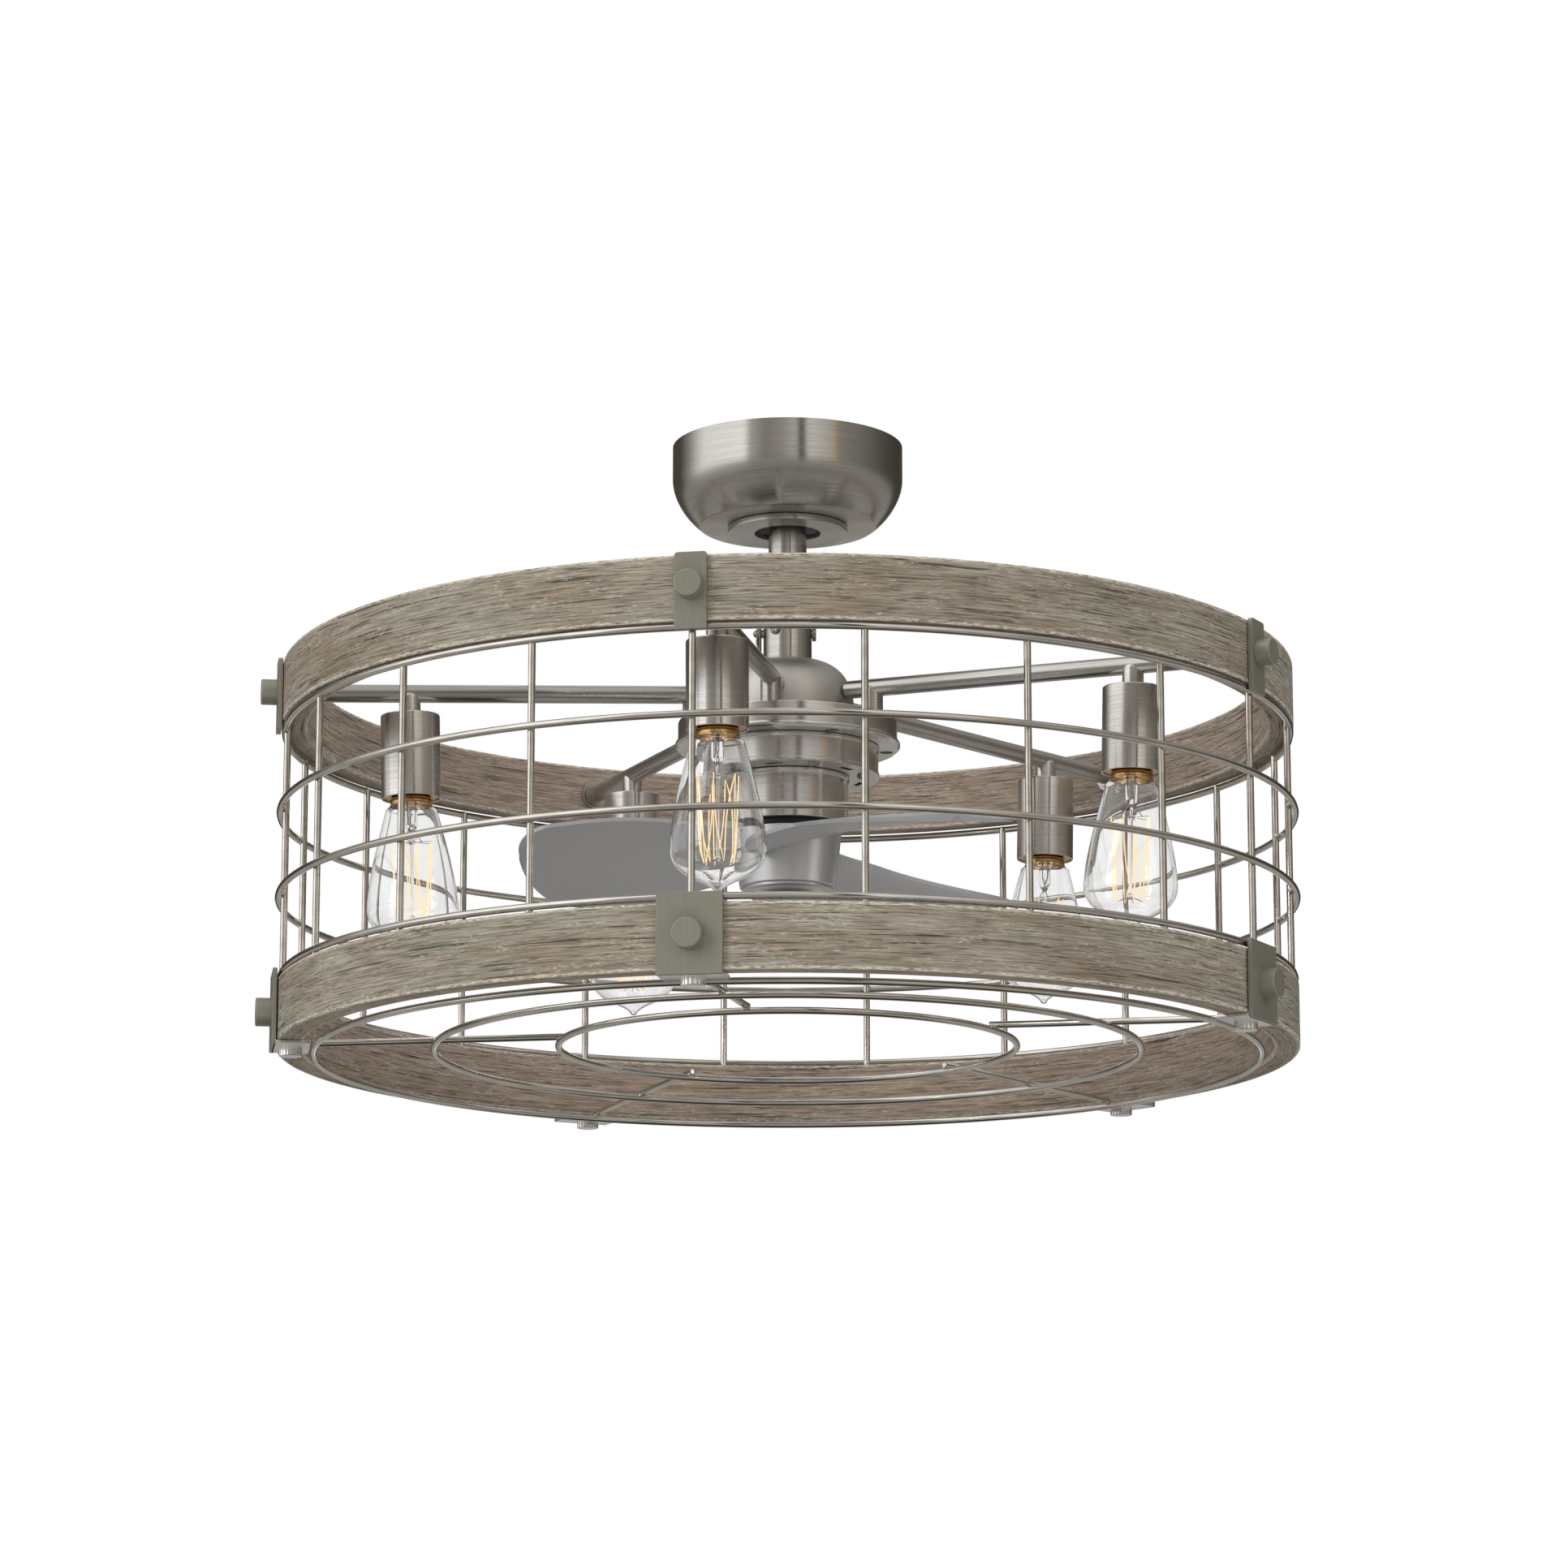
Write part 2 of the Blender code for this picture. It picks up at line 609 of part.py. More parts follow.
def ball_space():
    """The room that the ball takes up in its cradle."""
    side = ball_side(BALL_RADIUS + BALL_GAP)
    top = side[0][1] + OVERRUN
    bottom = side[-1][1] - OVERRUN
    profile = [(0, top), (side[0][0], top)] + side + [(side[-1][0], bottom), (0, bottom)]
    return lathe("ball_space", profile, ROUND_SEGMENTS, False)


def hanger_ball(looks, frame):
    """The ball's bore flares both ways, so the downrod can rock on the cross pin."""
    waist = (ROD_TUBE_RADIUS + SEAT_GAP) / math.cos(SWING_ANGLE)
    flare = math.tan(SWING_ANGLE)
    profile = ball_side(BALL_RADIUS) + [
        (waist + flare * BALL_BOTTOM_DROP, BALL_CENTRE_Z - BALL_BOTTOM_DROP),
        (waist, BALL_CENTRE_Z),
        (waist + flare * BALL_TOP_RISE, BALL_CENTRE_Z + BALL_TOP_RISE),
    ]
    ball = lathe("hanger_ball", profile, ROUND_SEGMENTS, True)
    half = BALL_RADIUS + OVERRUN
    ball = cut(ball, slanted_cylinder("pin_bore", CROSS_PIN_RADIUS + SEAT_GAP, (0, -half, BALL_CENTRE_Z),
                                      (0, half, BALL_CENTRE_Z), SMALL_SEGMENTS))
    finish(ball, looks["black"], frame)
    pin = slanted_cylinder("cross_pin", CROSS_PIN_RADIUS, (0, -CROSS_PIN_HALF, BALL_CENTRE_Z),
                           (0, CROSS_PIN_HALF, BALL_CENTRE_Z), SMALL_SEGMENTS)
    finish(pin, looks["steel"], frame)


def receiver_module(looks, frame):
    """The remote control's receiver, between the bracket's legs and above the ball."""
    top = -PLATE_THICKNESS - SEAT_GAP
    box = block("receiver_module", (-RECEIVER_WIDTH / 2, -RECEIVER_LENGTH / 2, top - RECEIVER_HEIGHT),
                (RECEIVER_WIDTH / 2, RECEIVER_LENGTH / 2, top))
    box = bevel_edges(box, RECEIVER_EDGE,
                      lambda edge: abs(edge.verts[0].co.z - edge.verts[1].co.z) > RECEIVER_EDGE)
    finish(box, looks["black"], frame)


def downrod(looks, frame):
    profile = [
        (ROD_TUBE_RADIUS, ROD_TUBE_TOP_Z),
        (ROD_TUBE_RADIUS, ROD_TUBE_BOTTOM_Z),
        (ROD_TUBE_RADIUS - ROD_TUBE_WALL, ROD_TUBE_BOTTOM_Z),
        (ROD_TUBE_RADIUS - ROD_TUBE_WALL, ROD_TUBE_TOP_Z),
    ]
    tube = lathe("downrod", profile, SHAFT_SEGMENTS, True)
    reach = ROD_TUBE_RADIUS + OVERRUN
    cross_bore = slanted_cylinder("cross_bore", CROSS_PIN_RADIUS + SEAT_GAP, (0, -reach, BALL_CENTRE_Z),
                                  (0, reach, BALL_CENTRE_Z), SMALL_SEGMENTS)
    clevis_bore = radial_cylinder("clevis_bore", CLEVIS_PIN_RADIUS + SEAT_GAP, -reach, reach, CLEVIS_PIN_Z,
                                  SMALL_SEGMENTS)
    tube = cut(tube, gather("bores", [cross_bore, clevis_bore]))
    finish(tube, looks["nickel"], frame)


def coupling(looks, frame):
    """The collar that pins the downrod to the motor's shaft."""
    bore = ROD_TUBE_RADIUS + SEAT_GAP
    shaft_bore = SHAFT_RADIUS + SEAT_GAP
    floor = COUPLING_BOTTOM_Z + COUPLING_FLOOR
    profile = [
        (bore, COUPLING_TOP_Z),
        (COUPLING_RADIUS - COUPLING_EDGE, COUPLING_TOP_Z),
        (COUPLING_RADIUS, COUPLING_TOP_Z - COUPLING_EDGE),
        (COUPLING_RADIUS, COUPLING_BOTTOM_Z),
        (shaft_bore, COUPLING_BOTTOM_Z),
        (shaft_bore, floor),
        (bore, floor),
    ]
    collar = lathe("coupling", profile, SHAFT_SEGMENTS, True)
    reach = COUPLING_RADIUS + OVERRUN
    bore = radial_cylinder("clevis_bore", CLEVIS_PIN_RADIUS + SEAT_GAP, -reach, reach, CLEVIS_PIN_Z,
                           SMALL_SEGMENTS)
    screw_hole = radial_cylinder("screw_hole", COUPLING_SCREW_RADIUS + SEAT_GAP, ROD_TUBE_RADIUS, reach,
                                 CLEVIS_PIN_Z, FASTENER_SEGMENTS)
    screw_hole.data.transform(Matrix.Rotation(COUPLING_SCREW_ANGLE, 4, "Z"))
    collar = cut(collar, gather("bores", [bore, screw_hole]))
    finish(collar, looks["nickel"], frame)


def clevis_pin(looks, frame):
    head_inner = COUPLING_RADIUS + SEAT_GAP
    tail = -COUPLING_RADIUS - CLEVIS_TAIL
    shank = radial_cylinder("clevis_pin", CLEVIS_PIN_RADIUS, tail, head_inner + CLEVIS_HEAD_LENGTH / 2,
                            CLEVIS_PIN_Z, SMALL_SEGMENTS)
    head = radial_cylinder("head", CLEVIS_HEAD_RADIUS, head_inner, head_inner + CLEVIS_HEAD_LENGTH,
                           CLEVIS_PIN_Z, SMALL_SEGMENTS)
    pin = union(shank, head)
    hole_at = tail + CLEVIS_TAIL / 2
    hole = cylinder("clip_hole", CLIP_WIRE_RADIUS + SEAT_GAP, CLEVIS_PIN_Z - CLEVIS_PIN_RADIUS - OVERRUN,
                    CLEVIS_PIN_Z + CLEVIS_PIN_RADIUS + OVERRUN, FASTENER_SEGMENTS, (hole_at, 0))
    finish(cut(pin, hole), looks["steel"], frame)


def hairpin_clip(looks, frame):
    """A bent wire: one leg through the pin's hole, the other round the pin's front."""
    x = -COUPLING_RADIUS - CLEVIS_TAIL / 2
    top = CLEVIS_PIN_Z + CLEVIS_PIN_RADIUS + 2 * CLIP_WIRE_RADIUS
    bottom = top - CLIP_LENGTH
    front = CLEVIS_PIN_RADIUS + CLIP_WIRE_RADIUS + SEAT_GAP
    curve = bpy.data.curves.new("hairpin_clip", "CURVE")
    curve.dimensions = "3D"
    curve.bevel_depth = CLIP_WIRE_RADIUS
    curve.bevel_resolution = 1
    curve.use_fill_caps = True
    points = [(x, 0, top), (x, 0, bottom + CLIP_BEND_RADIUS)]
    for index in range(1, ARC_STEPS):
        angle = math.pi * index / ARC_STEPS
        points.append((x, -CLIP_BEND_RADIUS * (1 - math.cos(angle)),
                       bottom + CLIP_BEND_RADIUS * (1 - math.sin(angle))))
    points.append((x, -2 * CLIP_BEND_RADIUS, bottom + CLIP_BEND_RADIUS))
    points.append((x, -CLIP_BEND_RADIUS, CLEVIS_PIN_Z - 2 * CLEVIS_PIN_RADIUS))
    points.append((x, -front, CLEVIS_PIN_Z))
    points.append((x, -front, top))
    spline = curve.splines.new("POLY")
    spline.points.add(len(points) - 1)
    for point, place in zip(spline.points, points):
        point.co = (*place, 1)
    clip = bpy.data.objects.new("hairpin_clip", curve)
    PARTS.objects.link(clip)
    finish(bake(clip), looks["steel"], frame)


def coupling_screw(looks, frame):
    head_inner = COUPLING_RADIUS + SEAT_GAP
    shank = radial_cylinder("coupling_screw", COUPLING_SCREW_RADIUS, ROD_TUBE_RADIUS + SEAT_GAP,
                            head_inner + COUPLING_SCREW_HEAD_LENGTH / 2, CLEVIS_PIN_Z, FASTENER_SEGMENTS)
    head = radial_cylinder("head", COUPLING_SCREW_HEAD_RADIUS, head_inner,
                           head_inner + COUPLING_SCREW_HEAD_LENGTH, CLEVIS_PIN_Z, FASTENER_SEGMENTS)
    screw = union(shank, head)
    screw.rotation_euler = (0, 0, COUPLING_SCREW_ANGLE)
    finish(screw, looks["steel"], frame)


def motor_dome(looks, frame):
    shaft_bore = SHAFT_RADIUS + SEAT_GAP
    top_angle = math.acos(COUPLING_RADIUS / DOME_RADIUS)
    outer = arc((0, DOME_SHOULDER_Z), (DOME_RADIUS, DOME_RISE), top_angle, 0, ARC_STEPS + 1)
    inner = arc((0, DOME_SHOULDER_Z), (DOME_RADIUS - DOME_WALL, DOME_RISE - DOME_WALL), 0, top_angle,
                ARC_STEPS - 1)
    profile = [(shaft_bore, outer[0][1])] + outer + [(DOME_RADIUS, DOME_BOTTOM_Z)]
    profile += [(DOME_RADIUS - DOME_WALL, DOME_BOTTOM_Z)] + inner + [(shaft_bore, inner[-1][1])]
    finish(lathe("motor_dome", profile, ROUND_SEGMENTS, True), looks["nickel"], frame)


def arm_flange(looks, frame):
    """The drum that the five arms stand on."""
    shaft_bore = SHAFT_RADIUS + SEAT_GAP
    lip_radii = (FLANGE_LIP_RADIUS - FLANGE_RADIUS + FLANGE_PLATE / 2, FLANGE_LIP_HEIGHT / 2)
    lip_centre = (FLANGE_LIP_RADIUS - lip_radii[0], FLANGE_BOTTOM_Z + lip_radii[1])
    lip = arc(lip_centre, lip_radii, math.pi / 2, -math.pi / 2, ARC_STEPS)
    inner_radius = FLANGE_RADIUS - FLANGE_PLATE
    profile = [(shaft_bore, FLANGE_TOP_Z), (FLANGE_RADIUS, FLANGE_TOP_Z)]
    profile += [(FLANGE_RADIUS, lip[0][1] + FLANGE_PLATE / 4)] + lip
    profile += [
        (FLANGE_BORE_RADIUS, FLANGE_BOTTOM_Z),
        (FLANGE_BORE_RADIUS, FLANGE_BOTTOM_Z + FLANGE_PLATE),
        (inner_radius, FLANGE_BOTTOM_Z + FLANGE_PLATE),
        (inner_radius, FLANGE_TOP_Z - FLANGE_PLATE),
        (shaft_bore, FLANGE_TOP_Z - FLANGE_PLATE),
    ]
    drum = lathe("arm_flange", profile, HUB_SEGMENTS, True)
    holes = []
    for index in range(LAMP_COUNT):
        angle = FIRST_ARM_ANGLE + index * math.tau / LAMP_COUNT
        centre = (FLANGE_HOLE_CIRCLE * math.cos(angle), FLANGE_HOLE_CIRCLE * math.sin(angle))
        holes.append(cylinder("hole", FLANGE_HOLE_RADIUS, FLANGE_BOTTOM_Z - OVERRUN,
                              FLANGE_BOTTOM_Z + FLANGE_PLATE + OVERRUN, FASTENER_SEGMENTS, centre))
    finish(cut(drum, gather("holes", holes)), looks["nickel"], frame)


def casing_profile(radius, top, bottom, bore, roof_bore):
    """A shallow drum with a lip round its top edge: a roof, a side wall and a floor."""
    lip = radius + CASING_LIP
    inner = radius - CASING_PLATE
    return [
        (roof_bore, top),
        (lip, top),
        (lip, top - CASING_LIP_HEIGHT),
        (radius, top - CASING_LIP_HEIGHT - CASING_LIP),
        (radius, bottom),
        (bore, bottom),
        (bore, bottom + CASING_PLATE),
        (inner, bottom + CASING_PLATE),
        (inner, top - CASING_PLATE),
        (roof_bore, top - CASING_PLATE),
    ]


def motor_casings(looks, frame):
    bore = SHAFT_RADIUS + SEAT_GAP
    upper = casing_profile(CASING_RADIUS, CASING_TOP_Z, CASING_BOTTOM_Z,
                           LOWER_CASING_RADIUS - 2 * CASING_PLATE, FLANGE_BORE_RADIUS)
    finish(lathe("motor_casing", upper, HUB_SEGMENTS, True), looks["nickel"], frame)
    lower = casing_profile(LOWER_CASING_RADIUS, LOWER_CASING_TOP_Z, LOWER_CASING_BOTTOM_Z, bore,
                           LOWER_CASING_RADIUS - 2 * CASING_PLATE)
    finish(lathe("lower_casing", lower, ROUND_SEGMENTS, True), looks["nickel"], frame)


def neck_ring(looks, frame):
    bore = SHAFT_FLANGE_RADIUS + SEAT_GAP
    profile = [(bore, NECK_TOP_Z), (NECK_RADIUS, NECK_TOP_Z), (NECK_RADIUS, NECK_BOTTOM_Z),
               (bore, NECK_BOTTOM_Z)]
    finish(lathe("neck_ring", profile, ROUND_SEGMENTS, True), looks["black"], frame)


def motor_shaft(looks, frame):
    """The fixed shaft. Its flange holds the casings up."""
    flange_bottom = SHAFT_FLANGE_TOP_Z - SHAFT_FLANGE_THICKNESS
    profile = [
        (0, SHAFT_TOP_Z),
        (SHAFT_RADIUS, SHAFT_TOP_Z),
        (SHAFT_RADIUS, SHAFT_FLANGE_TOP_Z),
        (SHAFT_FLANGE_RADIUS, SHAFT_FLANGE_TOP_Z),
        (SHAFT_FLANGE_RADIUS, flange_bottom),
        (SHAFT_RADIUS, flange_bottom),
        (SHAFT_RADIUS, SHAFT_BOTTOM_Z),
        (0, SHAFT_BOTTOM_Z),
    ]
    finish(lathe("motor_shaft", profile, SHAFT_SEGMENTS, False), looks["steel"], frame)


def stator_core(looks, frame):
    """The wound core on the shaft, inside the hub's ring of magnets."""
    bottom = STATOR_TOP_Z - MAGNET_HEIGHT
    bore = SHAFT_RADIUS + SEAT_GAP
    profile = [(bore, STATOR_TOP_Z), (STATOR_RADIUS, STATOR_TOP_Z), (STATOR_RADIUS, bottom), (bore, bottom)]
    core = lathe("stator_core", profile, ROUND_SEGMENTS, True)
    slots = []
    for index in range(STATOR_SLOTS):
        slot = block("slot", (STATOR_RADIUS - STATOR_SLOT_DEPTH, -STATOR_SLOT_WIDTH / 2, bottom - OVERRUN),
                     (STATOR_RADIUS + OVERRUN, STATOR_SLOT_WIDTH / 2, STATOR_TOP_Z + OVERRUN))
        slot.data.transform(Matrix.Rotation(index * math.tau / STATOR_SLOTS, 4, "Z"))
        slots.append(slot)
    finish(cut(core, gather("slots", slots)), looks["core"], frame)


def magnet_ring(looks, frame):
    bottom = STATOR_TOP_Z - MAGNET_HEIGHT
    outer = HUB_INNER_RADIUS - SEAT_GAP
    inner = outer - MAGNET_THICKNESS
    profile = [(inner, STATOR_TOP_Z), (outer, STATOR_TOP_Z), (outer, bottom), (inner, bottom)]
    finish(lathe("magnet_ring", profile, HUB_SEGMENTS, True), looks["core"], frame)


def blade_hub(looks, frame):
    bearing_bore = BEARING_RADIUS + SEAT_GAP
    boss_bottom = UPPER_BEARING_TOP_Z - UPPER_BEARING_HEIGHT - SEAT_GAP
    lip = bearing_bore - BEARING_LIP
    profile = [
        (lip, HUB_TOP_Z),
        (HUB_TOP_RADIUS, HUB_TOP_Z),
        (HUB_BOTTOM_RADIUS, HUB_BOTTOM_Z),
        (HUB_INNER_RADIUS, HUB_BOTTOM_Z),
        (HUB_INNER_RADIUS, HUB_TOP_Z - HUB_WEB),
        (bearing_bore + BEARING_WALL, HUB_TOP_Z - HUB_WEB),
        (bearing_bore + BEARING_WALL, boss_bottom),
        (bearing_bore, boss_bottom),
        (bearing_bore, HUB_TOP_Z - HUB_PLATE),
        (lip, HUB_TOP_Z - HUB_PLATE),
    ]
    finish(lathe("blade_hub", profile, HUB_SEGMENTS, True), looks["nickel"], frame)


def bearings(looks, frame):
    inner = SHAFT_RADIUS + SEAT_GAP
    lower_top = HUB_BOTTOM_Z + SEAT_GAP + LOWER_BEARING_HEIGHT
    for name, top, height in (("upper_bearing", UPPER_BEARING_TOP_Z, UPPER_BEARING_HEIGHT),
                              ("lower_bearing", lower_top, LOWER_BEARING_HEIGHT)):
        profile = [(inner, top), (BEARING_RADIUS, top), (BEARING_RADIUS, top - height), (inner, top - height)]
        finish(lathe(name, profile, SHAFT_SEGMENTS, True), looks["steel"], frame)


def hub_cap(looks, frame):
    """The cap plugs into the hub's open end and holds the lower bearing."""
    plug = HUB_INNER_RADIUS - SEAT_GAP
    rim_top = HUB_BOTTOM_Z - SEAT_GAP
    bearing_bore = BEARING_RADIUS + SEAT_GAP
    well = bearing_bore - BEARING_LIP
    dome = arc((0, rim_top), (CAP_FLANGE_RADIUS, CAP_DROP), 0, -math.pi / 2, ARC_STEPS)
    profile = [
        (0, CAP_BOTTOM_Z + CAP_WALL),
        (well, CAP_BOTTOM_Z + 2 * CAP_WALL),
        (well, HUB_BOTTOM_Z),
        (bearing_bore, HUB_BOTTOM_Z),
        (bearing_bore, CAP_SEAT_Z),
        (plug, CAP_SEAT_Z),
        (plug, rim_top),
    ]
    finish(lathe("hub_cap", profile + dome, HUB_SEGMENTS, False), looks["nickel"], frame)


def blade_point(out, across):
    """A point of the blade's middle surface, for a blade along +X with its high side towards +Y."""
    reach = max(out, 0)
    pitch = BLADE_ROOT_PITCH + (BLADE_TIP_PITCH - BLADE_ROOT_PITCH) * reach
    height = BLADE_ROOT_Z - BLADE_DROOP * reach + across * math.sin(pitch)
    return Vector((BLADE_ROOT_RADIUS + out * (BLADE_RADIUS - BLADE_ROOT_RADIUS),
                   across * math.cos(pitch) + BLADE_SWEEP * reach ** 2, height))


def blades(looks, frame):
    """Three wide twisted paddles, which droop and sweep towards their tips and meet the hub's side."""
    columns = len(BLADE_OUTLINE_SHARES)

    def fill(bm):
        grid = []
        for out, high_share, low_share in BLADE_OUTLINE_SHARES:
            high = high_share * BLADE_HIGH_SIDE
            low = -low_share * BLADE_LOW_SIDE
            row = []
            for index in range(BLADE_ROWS + 1):
                share = index / BLADE_ROWS
                place = blade_point(out, low + (high - low) * share)
                place.z += BLADE_CAMBER * max(out, 0) * (1 - (2 * share - 1) ** 2)
                row.append(bm.verts.new(place))
            grid.append(row)
        for column in range(columns - 1):
            for index in range(BLADE_ROWS):
                bm.faces.new((grid[column][index], grid[column + 1][index], grid[column + 1][index + 1],
                              grid[column][index + 1]))
    blade = add_mesh("blade", fill)
    skin = blade.modifiers.new("thickness", "SOLIDIFY")
    skin.thickness = BLADE_THICKNESS
    skin.offset = 0
    blade = bake(blade)
    top = HUB_TOP_Z + OVERRUN
    bottom = HUB_BOTTOM_Z - OVERRUN
    slope = (HUB_TOP_RADIUS - HUB_BOTTOM_RADIUS) / HUB_HEIGHT
    top_radius = HUB_TOP_RADIUS + SEAT_GAP + slope * OVERRUN
    bottom_radius = HUB_BOTTOM_RADIUS + SEAT_GAP - slope * OVERRUN
    hub_space = lathe("hub_space", [(0, top), (top_radius, top), (bottom_radius, bottom), (0, bottom)],
                      HUB_SEGMENTS, False)
    blade = cut(blade, hub_space)
    finish_ring(blade, looks["blade"], frame, BLADE_COUNT, FIRST_BLADE_ANGLE)


def wire_ring(name, radius, height, segments):
    """A hoop of round wire."""
    side = math.tau / WIRE_SIDES
    profile = []
    for index in range(WIRE_SIDES):
        angle = math.pi + index * side
        profile.append((radius + WIRE_RADIUS * math.cos(angle), height + WIRE_RADIUS * math.sin(angle)))
    return lathe(name, profile, segments, True)


def wood_ring(name, top, holes, looks, frame):
    """A bentwood ring with eased outer edges and a hole for each stud."""
    bottom = top - RING_HEIGHT
    profile = [
        (RING_INNER_RADIUS, top),
        (RING_RADIUS - RING_EDGE, top),
        (RING_RADIUS, top - RING_EDGE),
        (RING_RADIUS, bottom + RING_EDGE),
        (RING_RADIUS - RING_EDGE, bottom),
        (RING_INNER_RADIUS, bottom),
    ]
    ring = lathe(name, profile, WOOD_SEGMENTS, True)
    ring = cut(ring, gather("holes", holes))
    ring.rotation_euler = (0, 0, FIRST_ARM_ANGLE)
    finish(ring, looks["wood"], frame)


def wood_rings(looks, frame):
    top_holes = []
    bottom_holes = []
    for index in range(LAMP_COUNT):
        turn = Matrix.Rotation(index * math.tau / LAMP_COUNT, 4, "Z")
        through = radial_cylinder("through", STUD_RADIUS + SEAT_GAP, RING_INNER_RADIUS - OVERRUN,
                                  RING_RADIUS + OVERRUN, TOP_KNOB_Z, FASTENER_SEGMENTS)
        through.data.transform(turn)
        top_holes.append(through)
        blind = radial_cylinder("blind", STUD_RADIUS + SEAT_GAP, RING_RADIUS - BOTTOM_STUD_REACH - SEAT_GAP,
                                RING_RADIUS + OVERRUN, BOTTOM_KNOB_Z, FASTENER_SEGMENTS)
        blind.data.transform(turn)
        upright = cylinder("upright", STUD_RADIUS + SEAT_GAP, FOOT_TOP_Z - OVERRUN,
                           FOOT_TOP_Z + SEAT_GAP + BOTTOM_STUD_REACH, FASTENER_SEGMENTS,
                           (NUT_CIRCLE_RADIUS, 0))
        upright.data.transform(turn)
        bottom_holes.extend((blind, upright))
    wood_ring("wood_ring_top", TOP_RING_Z, top_holes, looks, frame)
    wood_ring("wood_ring_bottom", BOTTOM_RING_Z, bottom_holes, looks, frame)


def cage(looks, frame):
    """Four wire hoops welded to twenty upright rods."""
    hoops = gather("cage", [
        wire_ring("top_wire", CAGE_RING_RADIUS, TOP_WIRE_Z, HOOP_SEGMENTS),
        wire_ring("upper_hoop", HOOP_RADIUS, UPPER_HOOP_Z, HOOP_SEGMENTS),
        wire_ring("lower_hoop", HOOP_RADIUS, LOWER_HOOP_Z, HOOP_SEGMENTS),
        wire_ring("bottom_wire", CAGE_RING_RADIUS, BOTTOM_WIRE_Z, HOOP_SEGMENTS),
    ])
    rods = []
    for index in range(CAGE_ROD_COUNT):
        rod = cylinder("rod", ROD_RADIUS, BOTTOM_RING_Z + SEAT_GAP, TOP_WIRE_Z + WIRE_RADIUS / 2,
                       WIRE_ROD_SIDES)
        turn = Matrix.Rotation(index * math.tau / CAGE_ROD_COUNT, 4, "Z")
        place = Matrix.Translation((ROD_CIRCLE_RADIUS, 0, 0))
        rod.data.transform(turn @ place @ Matrix.Rotation(math.pi / 2, 4, "Z"))
        rods.append(rod)
    frame_of_wire = union(hoops, gather("rods", rods))
    frame_of_wire.rotation_euler = (0, 0, FIRST_ARM_ANGLE)
    finish(frame_of_wire, looks["wire"], frame)


def bottom_grille(looks, frame):
    """Three hoops, each a little higher than the last, under five spokes."""
    mid_z = GRILLE_Z + GRILLE_MID_RISE
    inner_z = GRILLE_Z + GRILLE_INNER_RISE
    hoops = gather("bottom_grille", [
        wire_ring("outer_hoop", GRILLE_RADIUS, GRILLE_Z, HOOP_SEGMENTS),
        wire_ring("mid_hoop", GRILLE_MID_RADIUS, mid_z, HOOP_SEGMENTS * 3 // 4),
        wire_ring("inner_hoop", GRILLE_INNER_RADIUS, inner_z, HOOP_SEGMENTS // 2),
    ])
    spokes = []
    slope = GRILLE_INNER_RISE / (GRILLE_RADIUS - GRILLE_INNER_RADIUS)
    for index in range(LAMP_COUNT):
        start = (GRILLE_INNER_RADIUS - WIRE_RADIUS, 0, inner_z + SPOKE_LIFT + slope * WIRE_RADIUS)
        end = (GRILLE_RADIUS, 0, GRILLE_Z + SPOKE_LIFT)
        spoke = slanted_cylinder("spoke", WIRE_RADIUS, start, end, WIRE_ROD_SIDES)
        spoke.data.transform(Matrix.Rotation(index * math.tau / LAMP_COUNT, 4, "Z"))
        spokes.append(spoke)
    grille = union(hoops, gather("spokes", spokes))
    grille.rotation_euler = (0, 0, FIRST_ARM_ANGLE)
    finish(grille, looks["wire"], frame)


def arm_height(radius):
    """Height of an arm's axis at a distance from the fan's axis."""
    share = (radius - ARM_INNER_RADIUS) / (ARM_OUTER_RADIUS - ARM_INNER_RADIUS)
    return ARM_INNER_Z + (ARM_OUTER_Z - ARM_INNER_Z) * share


def arms(looks, frame):
    """A tube from the dome to the wood ring, on a post that stands on the flange."""
    tube = slanted_cylinder("arm", ARM_RADIUS, (ARM_INNER_RADIUS, 0, ARM_INNER_Z),
                            (ARM_OUTER_RADIUS + WASHER_THICKNESS / 2, 0, ARM_OUTER_Z), SMALL_SEGMENTS)
    post = cylinder("post", ARM_RADIUS, FLANGE_TOP_Z + SEAT_GAP, arm_height(POST_CIRCLE_RADIUS),
                    SMALL_SEGMENTS, (POST_CIRCLE_RADIUS, 0))
    washer = radial_cylinder("washer", WASHER_RADIUS, ARM_OUTER_RADIUS, ARM_OUTER_RADIUS + WASHER_THICKNESS,
                             TOP_KNOB_Z, SMALL_SEGMENTS)
    arm = union(tube, post, washer)
    stud_bore = radial_cylinder("stud_bore", STUD_RADIUS + SEAT_GAP,
                                ARM_OUTER_RADIUS - STUD_REACH_IN_ARM - SEAT_GAP,
                                RING_RADIUS, TOP_KNOB_Z, FASTENER_SEGMENTS)
    finish_ring(cut(arm, stud_bore), looks["nickel"], frame, LAMP_COUNT, FIRST_ARM_ANGLE)


def hang_on_arm(lamp):
    """Move a piece made upright on Z out to the lamp's place, square to the sloping arm."""
    tilt = math.atan2(ARM_INNER_Z - ARM_OUTER_Z, ARM_OUTER_RADIUS - ARM_INNER_RADIUS)
    pivot = Matrix.Translation((LAMP_CIRCLE_RADIUS, 0, arm_height(LAMP_CIRCLE_RADIUS)))
    level = Matrix.Translation((0, 0, -arm_height(LAMP_CIRCLE_RADIUS)))
    lamp.data.transform(pivot @ Matrix.Rotation(tilt, 4, "Y") @ level)


